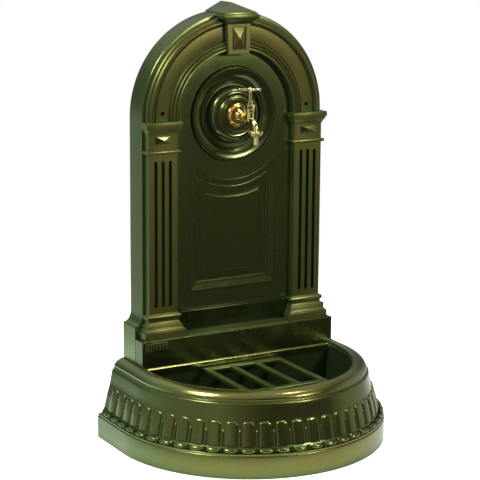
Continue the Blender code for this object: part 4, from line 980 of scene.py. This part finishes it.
def tap_bar(half_turn, reach, lean, middle, grooves):
    """One arm of the T-bar, from the hub outwards, with turned grooves at (distance, depth)."""
    radius = sizes().bar_radius
    line = [(0.0, 0.0, 0), (radius - 0.0004, 0.0, 0)]
    for place, depth in sorted(grooves):
        line += [(radius - 0.0002, place - 0.0007, 0.0003), (radius - 0.0002 - depth, place, 0.0003),
                 (radius - 0.0002, place + 0.0007, 0.0003)]
    line += [(radius, reach - 0.002, 0.0006), (radius, reach, 0.0012), (0.0, reach, 0)]
    bar = turned(fillet(line, 3), (0, 0, 0), True, 32)
    bmesh.ops.rotate(bar, cent=(0, 0, 0), matrix=Matrix.Rotation(lean - math.pi / 2 + half_turn, 3, "Z"),
                     verts=bar.verts)
    bmesh.ops.translate(bar, vec=(0, SPINDLE_Y, middle), verts=bar.verts)
    return bar


# ---- finishes ---------------------------------------------------------------
def add_node(tree, kind, inputs=None, **settings):
    """Add a shader node, set its attributes, and set or link its inputs."""
    node = tree.nodes.new(kind)
    for name, value in settings.items():
        setattr(node, name, value)
    for name, value in (inputs or {}).items():
        if isinstance(value, bpy.types.NodeSocket):
            tree.links.new(value, node.inputs[name])
        else:
            node.inputs[name].default_value = value
    return node


def maths(tree, operation, a, b=0.0, clamp=False):
    """Work out one sum of two values."""
    return add_node(tree, "ShaderNodeMath", {0: a, 1: b}, operation=operation, use_clamp=clamp).outputs[0]


def span(tree, value, from_min, from_max, to_min=0.0, to_max=1.0):
    """Map a value smoothly from one range onto another."""
    return add_node(tree, "ShaderNodeMapRange",
                    {"Value": value, 3: to_min, 4: to_max, 1: from_min, 2: from_max},
                    interpolation_type="SMOOTHSTEP").outputs[0]


def new_group(name, inputs, outputs):
    """A shader node group with named sockets."""
    tree = bpy.data.node_groups.new(name, "ShaderNodeTree")
    for label, kind, value in inputs:
        tree.interface.new_socket(label, in_out="INPUT", socket_type=kind).default_value = value
    for label, kind in outputs:
        tree.interface.new_socket(label, in_out="OUTPUT", socket_type=kind)
    source = tree.nodes.new("NodeGroupInput")
    sink = tree.nodes.new("NodeGroupOutput")
    return tree, source.outputs, sink.inputs


def bronze_and_painted_shade_group():
    """Green coat with bronze rubbed on what faces forward or up, and painted shade that darkens the recesses.
    """
    tree, given, result = new_group(
        "bronze_and_painted_shade",
        (("Green", "NodeSocketColor", (0.03, 0.05, 0.02, 1)),
         ("Bronze", "NodeSocketColor", (0.2, 0.16, 0.04, 1)),
         ("Painted shade", "NodeSocketColor", (0.01, 0.01, 0.01, 1)), ("Dusting", "NodeSocketFloat", 0.6),
         ("Roughness", "NodeSocketFloat", 0.36)),
        (("Color", "NodeSocketColor"), ("Roughness", "NodeSocketFloat"), ("Metallic", "NodeSocketFloat"),
         ("Height", "NodeSocketFloat")))
    place = add_node(tree, "ShaderNodeTexCoord")
    facing = add_node(tree, "ShaderNodeSeparateXYZ", {0: place.outputs["Normal"]}).outputs
    cloud = add_node(tree, "ShaderNodeTexNoise", {"Vector": place.outputs["Object"], "Scale": 9.0,
                                                  "Detail": 4.0, "Roughness": 0.6}).outputs[0]
    grain = add_node(tree, "ShaderNodeTexNoise", {"Vector": place.outputs["Object"], "Scale": 260.0,
                                                  "Detail": 2.0, "Roughness": 0.5}).outputs[0]
    cavity = add_node(tree, "ShaderNodeAmbientOcclusion", {"Distance": 0.03}, samples=8).outputs["AO"]
    open_share = span(tree, cavity, 0.3, 0.92)
    forward = maths(tree, "MULTIPLY", facing["Y"], -1.0)
    lit = maths(tree, "MULTIPLY_ADD", facing["Z"], 0.45)
    tree.links.new(forward, lit.node.inputs[2])
    rubbed = span(tree, lit, -0.05, 0.95)
    patchy = span(tree, cloud, 0.2, 0.8, -0.22, 0.22)
    dusted = maths(tree, "MULTIPLY", rubbed, given["Dusting"])
    mask = maths(tree, "MULTIPLY", maths(tree, "ADD", dusted, maths(tree, "MULTIPLY", patchy, dusted)),
                 open_share, True)
    coat = add_node(tree, "ShaderNodeMix", {0: mask, 6: given["Green"], 7: given["Bronze"]},
                    data_type="RGBA").outputs[2]
    # Painted shade: occlusion mixes the colour towards the dark recess colour in creases and hollows.
    shade = span(tree, cavity, 0.05, 0.75)
    colour_out = add_node(tree, "ShaderNodeMix", {0: shade, 6: given["Painted shade"], 7: coat},
                          data_type="RGBA").outputs[2]
    tree.links.new(colour_out, result["Color"])
    rough = maths(tree, "ADD", given["Roughness"], span(tree, cloud, 0.25, 0.75, -0.03, 0.03))
    dull = maths(tree, "MULTIPLY", maths(tree, "SUBTRACT", 1.0, open_share), 0.18)
    tree.links.new(maths(tree, "ADD", rough, dull, True), result["Roughness"])
    tree.links.new(span(tree, mask, 0.0, 1.0, 0.86, 0.97), result["Metallic"])
    tree.links.new(grain, result["Height"])


def new_material(name):
    """Make a material, and return its node tree and its Principled shader."""
    material = bpy.data.materials.new(name)
    material.use_nodes = True
    return material.node_tree, material.node_tree.nodes["Principled BSDF"]


def make_paint(name, dusting, roughness_shift=0.0, light_and_shade_scale=1.0, coat=0.06, metal=True):
    """A painted casting: how much bronze it carries, how dull it is, and its painted light and shade."""
    look = finish()
    tree, shader = new_material(name)
    group = add_node(tree, "ShaderNodeGroup", node_tree=bpy.data.node_groups["bronze_and_painted_shade"])
    # Painted light and shade: this part's copy of the one paint is scaled lighter or darker.
    for label, value in (("Green", look.green), ("Bronze", look.bronze), ("Painted shade", look.recess_painted_shade)):
        group.inputs[label].default_value = (*(light_and_shade_scale * part for part in value), 1.0)
    group.inputs["Dusting"].default_value = dusting
    group.inputs["Roughness"].default_value = look.paint_roughness + roughness_shift
    for label, socket in (("Color", "Base Color"), ("Roughness", "Roughness"), ("Metallic", "Metallic")):
        if metal or label != "Metallic":
            tree.links.new(group.outputs[label], shader.inputs[socket])
    shader.inputs["Specular IOR Level"].default_value = 0.5 if metal else 0.05
    relief = add_node(tree, "ShaderNodeBump", {"Strength": 0.02, "Distance": 0.0006,
                                               "Height": group.outputs["Height"]})
    tree.links.new(relief.outputs[0], shader.inputs["Normal"])
    shader.inputs["Coat Weight"].default_value = coat
    shader.inputs["Coat Roughness"].default_value = 0.16


def make_brass(name, tone, roughness):
    """Polished brass with a little tarnish in its recesses."""
    tree, shader = new_material(name)
    place = add_node(tree, "ShaderNodeTexCoord").outputs["Object"]
    cloud = add_node(tree, "ShaderNodeTexNoise", {"Vector": place, "Scale": 160.0, "Detail": 2.0}).outputs[0]
    cavity = add_node(tree, "ShaderNodeAmbientOcclusion", {"Distance": 0.008}, samples=8).outputs["AO"]
    clean = span(tree, cavity, 0.15, 0.85)
    tarnish = (tone[0] * 0.4, tone[1] * 0.24, tone[2] * 0.14, 1.0)
    mixed = add_node(tree, "ShaderNodeMix", {0: clean, 6: tarnish, 7: (*tone, 1.0)}, data_type="RGBA")
    tree.links.new(mixed.outputs[2], shader.inputs["Base Color"])
    tree.links.new(span(tree, cloud, 0.2, 0.8, roughness * 0.8, roughness * 1.2), shader.inputs["Roughness"])
    shader.inputs["Metallic"].default_value = 1.0


def make_finishes():
    """Every material of the castings and the tap."""
    look = finish()
    bronze_and_painted_shade_group()
    # The third number is painted light and shade: a lighter or darker copy of the one paint for each part.
    make_paint("field_paint", 0.58, -0.02, 0.85)
    make_paint("dado_paint", 0.4, 0.0, 0.38)
    make_paint("flank_paint", 0.45, 0.0, 1.1)
    make_paint("plinth_paint", 0.6, 0.0, 0.62)
    make_paint("ledge_paint", 0.4, 0.1)
    make_paint("panel_paint", 0.62, -0.06, 0.95)
    make_paint("boss_paint", 0.66, -0.06, 0.72, coat=0.25)
    make_paint("pilaster_paint", 0.85, 0.12, 1.1)
    make_paint("gilt_paint", 0.95, -0.08, 1.1, coat=0.35)
    make_paint("arch_paint", 0.94, 0.08, 0.74)
    make_paint("keystone_paint", 1.0, 0.14, 0.98)
    make_paint("cap_paint", 0.74, 0.04, 0.92)
    make_paint("plate_paint", 0.9, 0.05, 1.9)
    make_paint("rim_paint", 0.88, -0.08, 1.25, coat=0.22)
    make_paint("frieze_paint", 0.66, -0.06, 0.92)
    make_paint("band_paint", 0.75, 0.0, 0.9)
    # Painted shade: the bowl gets a near-black, dull copy of the one paint.
    make_paint("painted_shade_paint", 0.05, 0.3, 0.16, 0.0, metal=False)
    make_paint("grille_paint", 0.6, 0.08)
    make_brass("tap_brass", look.brass, look.brass_roughness)
    make_brass("flange_brass", look.flange, look.brass_roughness)
    make_brass("tap_nickel", look.nickel, look.brass_roughness * 2)


# ---- stage ------------------------------------------------------------------
CAMERA_AZIMUTH = math.radians(-29.34)
CAMERA_ELEVATION = math.radians(12.28)
CAMERA_ROLL = math.radians(0.42)
CAMERA_DISTANCE = 4.018
CAMERA_TARGET = Vector((0.0205, 0.166, 0.44))
CAMERA_LENS = 130.65
LIGHT_DISTANCE = 2.2
FLOOR_RADIUS = 2.2


def build_camera():
    """Camera a little above the basin, to the left of the fountain."""
    data = bpy.data.cameras.new("camera")
    data.lens = CAMERA_LENS
    data.sensor_width = 36.0
    data.clip_end = 50.0
    camera = new_object("camera", data)
    back = Vector((math.sin(CAMERA_AZIMUTH) * math.cos(CAMERA_ELEVATION),
                   -math.cos(CAMERA_AZIMUTH) * math.cos(CAMERA_ELEVATION), math.sin(CAMERA_ELEVATION)))
    turned_to = back.to_track_quat("Z", "Y").to_matrix().to_4x4() @ Matrix.Rotation(CAMERA_ROLL, 4, "Z")
    camera.matrix_world = Matrix.Translation(CAMERA_TARGET + back * CAMERA_DISTANCE) @ turned_to
    bpy.context.scene.camera = camera


def soft_box(name, aim, way, side, power):
    """A square studio light that stands off from a place in one direction and points back at it."""
    place = aim + Vector(way).normalized() * LIGHT_DISTANCE
    data = bpy.data.lights.new(name, "AREA")
    data.shape = "RECTANGLE"
    data.size, data.size_y = side, side
    data.energy = power
    light = new_object(name, data)
    light.location = place
    light.rotation_euler = (place - aim).to_track_quat("Z", "Y").to_euler()
    light.visible_camera = False


def build_world():
    """Studio seen in the reflections: pale sides and back, dark towards the front."""
    world = bpy.data.worlds.new("studio")
    bpy.context.scene.world = world
    world.use_nodes = True
    tree = world.node_tree
    way = add_node(tree, "ShaderNodeTexCoord").outputs["Generated"]
    part = add_node(tree, "ShaderNodeSeparateXYZ", {0: way}).outputs
    # Pale at both sides.
    left = span(tree, maths(tree, "MULTIPLY", part["X"], -1.0), 0.5, 0.95, 0.0, 0.45)
    right = span(tree, part["X"], 0.72, 0.98, 0.0, 0.6)
    # Behind the fountain: pale below the horizon, dark at the horizon, pale again higher up.
    behind = span(tree, part["Y"], 0.15, 0.75)
    backdrop = maths(tree, "ADD", span(tree, part["Z"], -0.2, 0.02, 0.65, 0.13),
                     span(tree, part["Z"], 0.25, 0.62, 0.0, 0.6))
    low_behind = maths(tree, "MULTIPLY", behind, backdrop)
    above = span(tree, part["Z"], 0.55, 0.95, 0.0, 0.8)
    # Nearly dark towards the viewer, with a faint glow at the front left.
    front = maths(tree, "MULTIPLY", maths(tree, "SUBTRACT", 1.0, behind), 0.07)
    total = maths(tree, "ADD", maths(tree, "ADD", left, right), maths(tree, "ADD", low_behind, above))
    front_left = maths(tree, "MULTIPLY", span(tree, part["X"], -0.2, -0.55, 0.0, 0.24),
                       span(tree, part["Y"], -0.3, -0.6))
    front_left = maths(tree, "MULTIPLY", front_left, span(tree, part["Z"], -0.15, 0.05))
    total = maths(tree, "ADD", total, maths(tree, "ADD", front, front_left))
    rays = add_node(tree, "ShaderNodeLightPath").outputs["Is Camera Ray"]
    studio = tree.nodes["Background"]
    studio.inputs["Color"].default_value = (0.97, 1.0, 0.98, 1.0)
    tree.links.new(total, studio.inputs["Strength"])
    seen = add_node(tree, "ShaderNodeBackground", {"Color": (1.0, 1.0, 1.0, 1.0), "Strength": 1.0})
    mix = add_node(tree, "ShaderNodeMixShader", {0: rays, 1: studio.outputs[0], 2: seen.outputs[0]})
    tree.links.new(mix.outputs[0], tree.nodes["World Output"].inputs["Surface"])


def build_floor():
    """Plain pale floor that fades out into the backdrop."""
    bm = bmesh.new()
    bmesh.ops.create_circle(bm, cap_ends=True, segments=96, radius=FLOOR_RADIUS)
    mesh = bpy.data.meshes.new("floor")
    bm.to_mesh(mesh)
    bm.free()
    floor = new_object("floor", mesh)
    floor.location = (0, 0, CAD_BOX[0].z - 0.0002)
    tree, shader = new_material("pale_floor")
    shader.inputs["Base Color"].default_value = (*finish().floor, 1.0)
    shader.inputs["Roughness"].default_value = 0.9
    shader.inputs["Emission Color"].default_value = (1.0, 1.0, 1.0, 1.0)
    shader.inputs["Emission Strength"].default_value = 0.62
    place = add_node(tree, "ShaderNodeTexCoord").outputs["Object"]
    away = add_node(tree, "ShaderNodeVectorMath", {0: place}, operation="LENGTH").outputs["Value"]
    ahead = add_node(tree, "ShaderNodeSeparateXYZ", {0: place}).outputs["Y"]
    glossy = add_node(tree, "ShaderNodeLightPath").outputs["Is Glossy Ray"]
    # The floor fades out far away. Mirrored rays also pass through it close to the basin's front and
    # beyond about a metre, so that the paint reflects a darker floor there.
    far = span(tree, away, 1.3, 2.1)
    near = maths(tree, "MULTIPLY", span(tree, away, 0.36, 0.56), span(tree, ahead, 0.1, 0.4, 1.0, 0.0))
    near = maths(tree, "MAXIMUM", near, span(tree, away, 0.95, 1.45))
    near = maths(tree, "MULTIPLY", near, glossy)
    clear = add_node(tree, "ShaderNodeBsdfTransparent")
    fade = maths(tree, "MAXIMUM", far, near)
    mix = add_node(tree, "ShaderNodeMixShader", {0: fade, 1: shader.outputs[0], 2: clear.outputs[0]})
    tree.links.new(mix.outputs[0], tree.nodes["Material Output"].inputs["Surface"])
    mesh.materials.append(bpy.data.materials["pale_floor"])


def build_stage():
    """Camera, reflected studio, floor and three lights."""
    build_camera()
    build_world()
    build_floor()
    rim_left = Vector((-0.2, -0.07, RIM_TOP))
    rim_front = Vector((-0.01, -0.17, RIM_TOP))
    neck = Vector((low("diamond_left").x, FIELD_Y, SPRINGING))
    soft_box("upper_left_light", rim_left, (-0.57, -0.02, 0.82), 0.5, 45)
    soft_box("front_right_light", rim_front, (0.42, -0.74, 0.53), 0.4, 24)
    soft_box("high_light", neck, (0.48, -0.34, 0.81), 0.36, 11)
    view = bpy.context.scene.view_settings
    view.view_transform = "Standard"


# ---- operators --------------------------------------------------------------
class FOUNTAIN_OT_finishes(bpy.types.Operator):
    """Make the painted and the brass finishes"""
    bl_idname = "fountain.finishes"
    bl_label = "Finishes"

    def execute(self, context):
        make_finishes()
        return {"FINISHED"}


class FOUNTAIN_OT_basin(bpy.types.Operator):
    """Build the base ring, the frieze, the rim and the bowl"""
    bl_idname = "fountain.basin"
    bl_label = "Basin"

    def execute(self, context):
        build_base_ring()
        build_frieze()
        build_tongues()
        build_rim()
        build_bowl()
        return {"FINISHED"}


class FOUNTAIN_OT_grille(bpy.types.Operator):
    """Build the bucket grille"""
    bl_idname = "fountain.grille"
    bl_label = "Bucket grille"

    def execute(self, context):
        build_grille()
        return {"FINISHED"}


class FOUNTAIN_OT_casing(bpy.types.Operator):
    """Build the arched casing and its foot"""
    bl_idname = "fountain.casing"
    bl_label = "Casing"

    def execute(self, context):
        build_casing()
        build_casing_foot()
        return {"FINISHED"}


class FOUNTAIN_OT_plinth(bpy.types.Operator):
    """Build the plinth, the dado and the blank plate"""
    bl_idname = "fountain.plinth"
    bl_label = "Plinth"

    def execute(self, context):
        build_plinth()
        build_name_plate()
        return {"FINISHED"}


class FOUNTAIN_OT_pilasters(bpy.types.Operator):
    """Build both pilasters"""
    bl_idname = "fountain.pilasters"
    bl_label = "Pilasters"

    def execute(self, context):
        for side in ("left", "right"):
            build_pilaster(side)
        return {"FINISHED"}


class FOUNTAIN_OT_panel(bpy.types.Operator):
    """Build the lower panel and the round boss"""
    bl_idname = "fountain.panel"
    bl_label = "Panel and boss"

    def execute(self, context):
        build_panel()
        build_boss()
        return {"FINISHED"}


class FOUNTAIN_OT_arch(bpy.types.Operator):
    """Build the arch, the keystone and its cap"""
    bl_idname = "fountain.arch"
    bl_label = "Arch and keystone"

    def execute(self, context):
        build_archivolt()
        build_keystone()
        build_cap()
        return {"FINISHED"}


class FOUNTAIN_OT_tap(bpy.types.Operator):
    """Build the fixed parts of the tap"""
    bl_idname = "fountain.tap"
    bl_label = "Tap"

    def execute(self, context):
        build_rosette()
        build_valve()
        build_spout()
        build_union()
        return {"FINISHED"}


class FOUNTAIN_OT_handle(bpy.types.Operator):
    """Build the tap's turning handle"""
    bl_idname = "fountain.handle"
    bl_label = "Tap handle"

    def execute(self, context):
        build_handle()
        return {"FINISHED"}


class FOUNTAIN_OT_stage(bpy.types.Operator):
    """Build the camera, the lights and the floor"""
    bl_idname = "fountain.stage"
    bl_label = "Stage"

    def execute(self, context):
        build_stage()
        return {"FINISHED"}


STEPS = (FOUNTAIN_OT_stage, FOUNTAIN_OT_finishes, FOUNTAIN_OT_basin, FOUNTAIN_OT_grille,
         FOUNTAIN_OT_casing, FOUNTAIN_OT_plinth, FOUNTAIN_OT_pilasters, FOUNTAIN_OT_panel,
         FOUNTAIN_OT_arch, FOUNTAIN_OT_tap, FOUNTAIN_OT_handle)


class FOUNTAIN_PT_panel(bpy.types.Panel):
    """Sizes, finishes and building steps of the wall fountain"""
    bl_idname = "FOUNTAIN_PT_panel"
    bl_label = "Wall fountain"
    bl_space_type = "VIEW_3D"
    bl_region_type = "UI"
    bl_category = "Fountain"

    def draw(self, context):
        for group in (context.scene.fountain_sizes, context.scene.fountain_finish):
            for name in group.__annotations__:
                self.layout.prop(group, name)
        for step in STEPS:
            self.layout.operator(step.bl_idname)


CLASSES = (FountainSizes, FountainFinish, *STEPS, FOUNTAIN_PT_panel)


def register():
    """Add the classes and the two groups of properties."""
    for cls in CLASSES:
        bpy.utils.register_class(cls)
    bpy.types.Scene.fountain_sizes = PointerProperty(type=FountainSizes)
    bpy.types.Scene.fountain_finish = PointerProperty(type=FountainFinish)


def unregister():
    """Take away what register() added."""
    del bpy.types.Scene.fountain_finish
    del bpy.types.Scene.fountain_sizes
    for cls in reversed(CLASSES):
        bpy.utils.unregister_class(cls)


def main():
    """Build the stage, the finishes and every piece."""
    register()
    bpy.ops.fountain.stage()
    bpy.ops.fountain.finishes()
    bpy.ops.fountain.basin()
    bpy.ops.fountain.grille()
    bpy.ops.fountain.casing()
    bpy.ops.fountain.plinth()
    bpy.ops.fountain.pilasters()
    bpy.ops.fountain.panel()
    bpy.ops.fountain.arch()
    bpy.ops.fountain.tap()
    bpy.ops.fountain.handle()


if __name__ == "__main__":
    main()
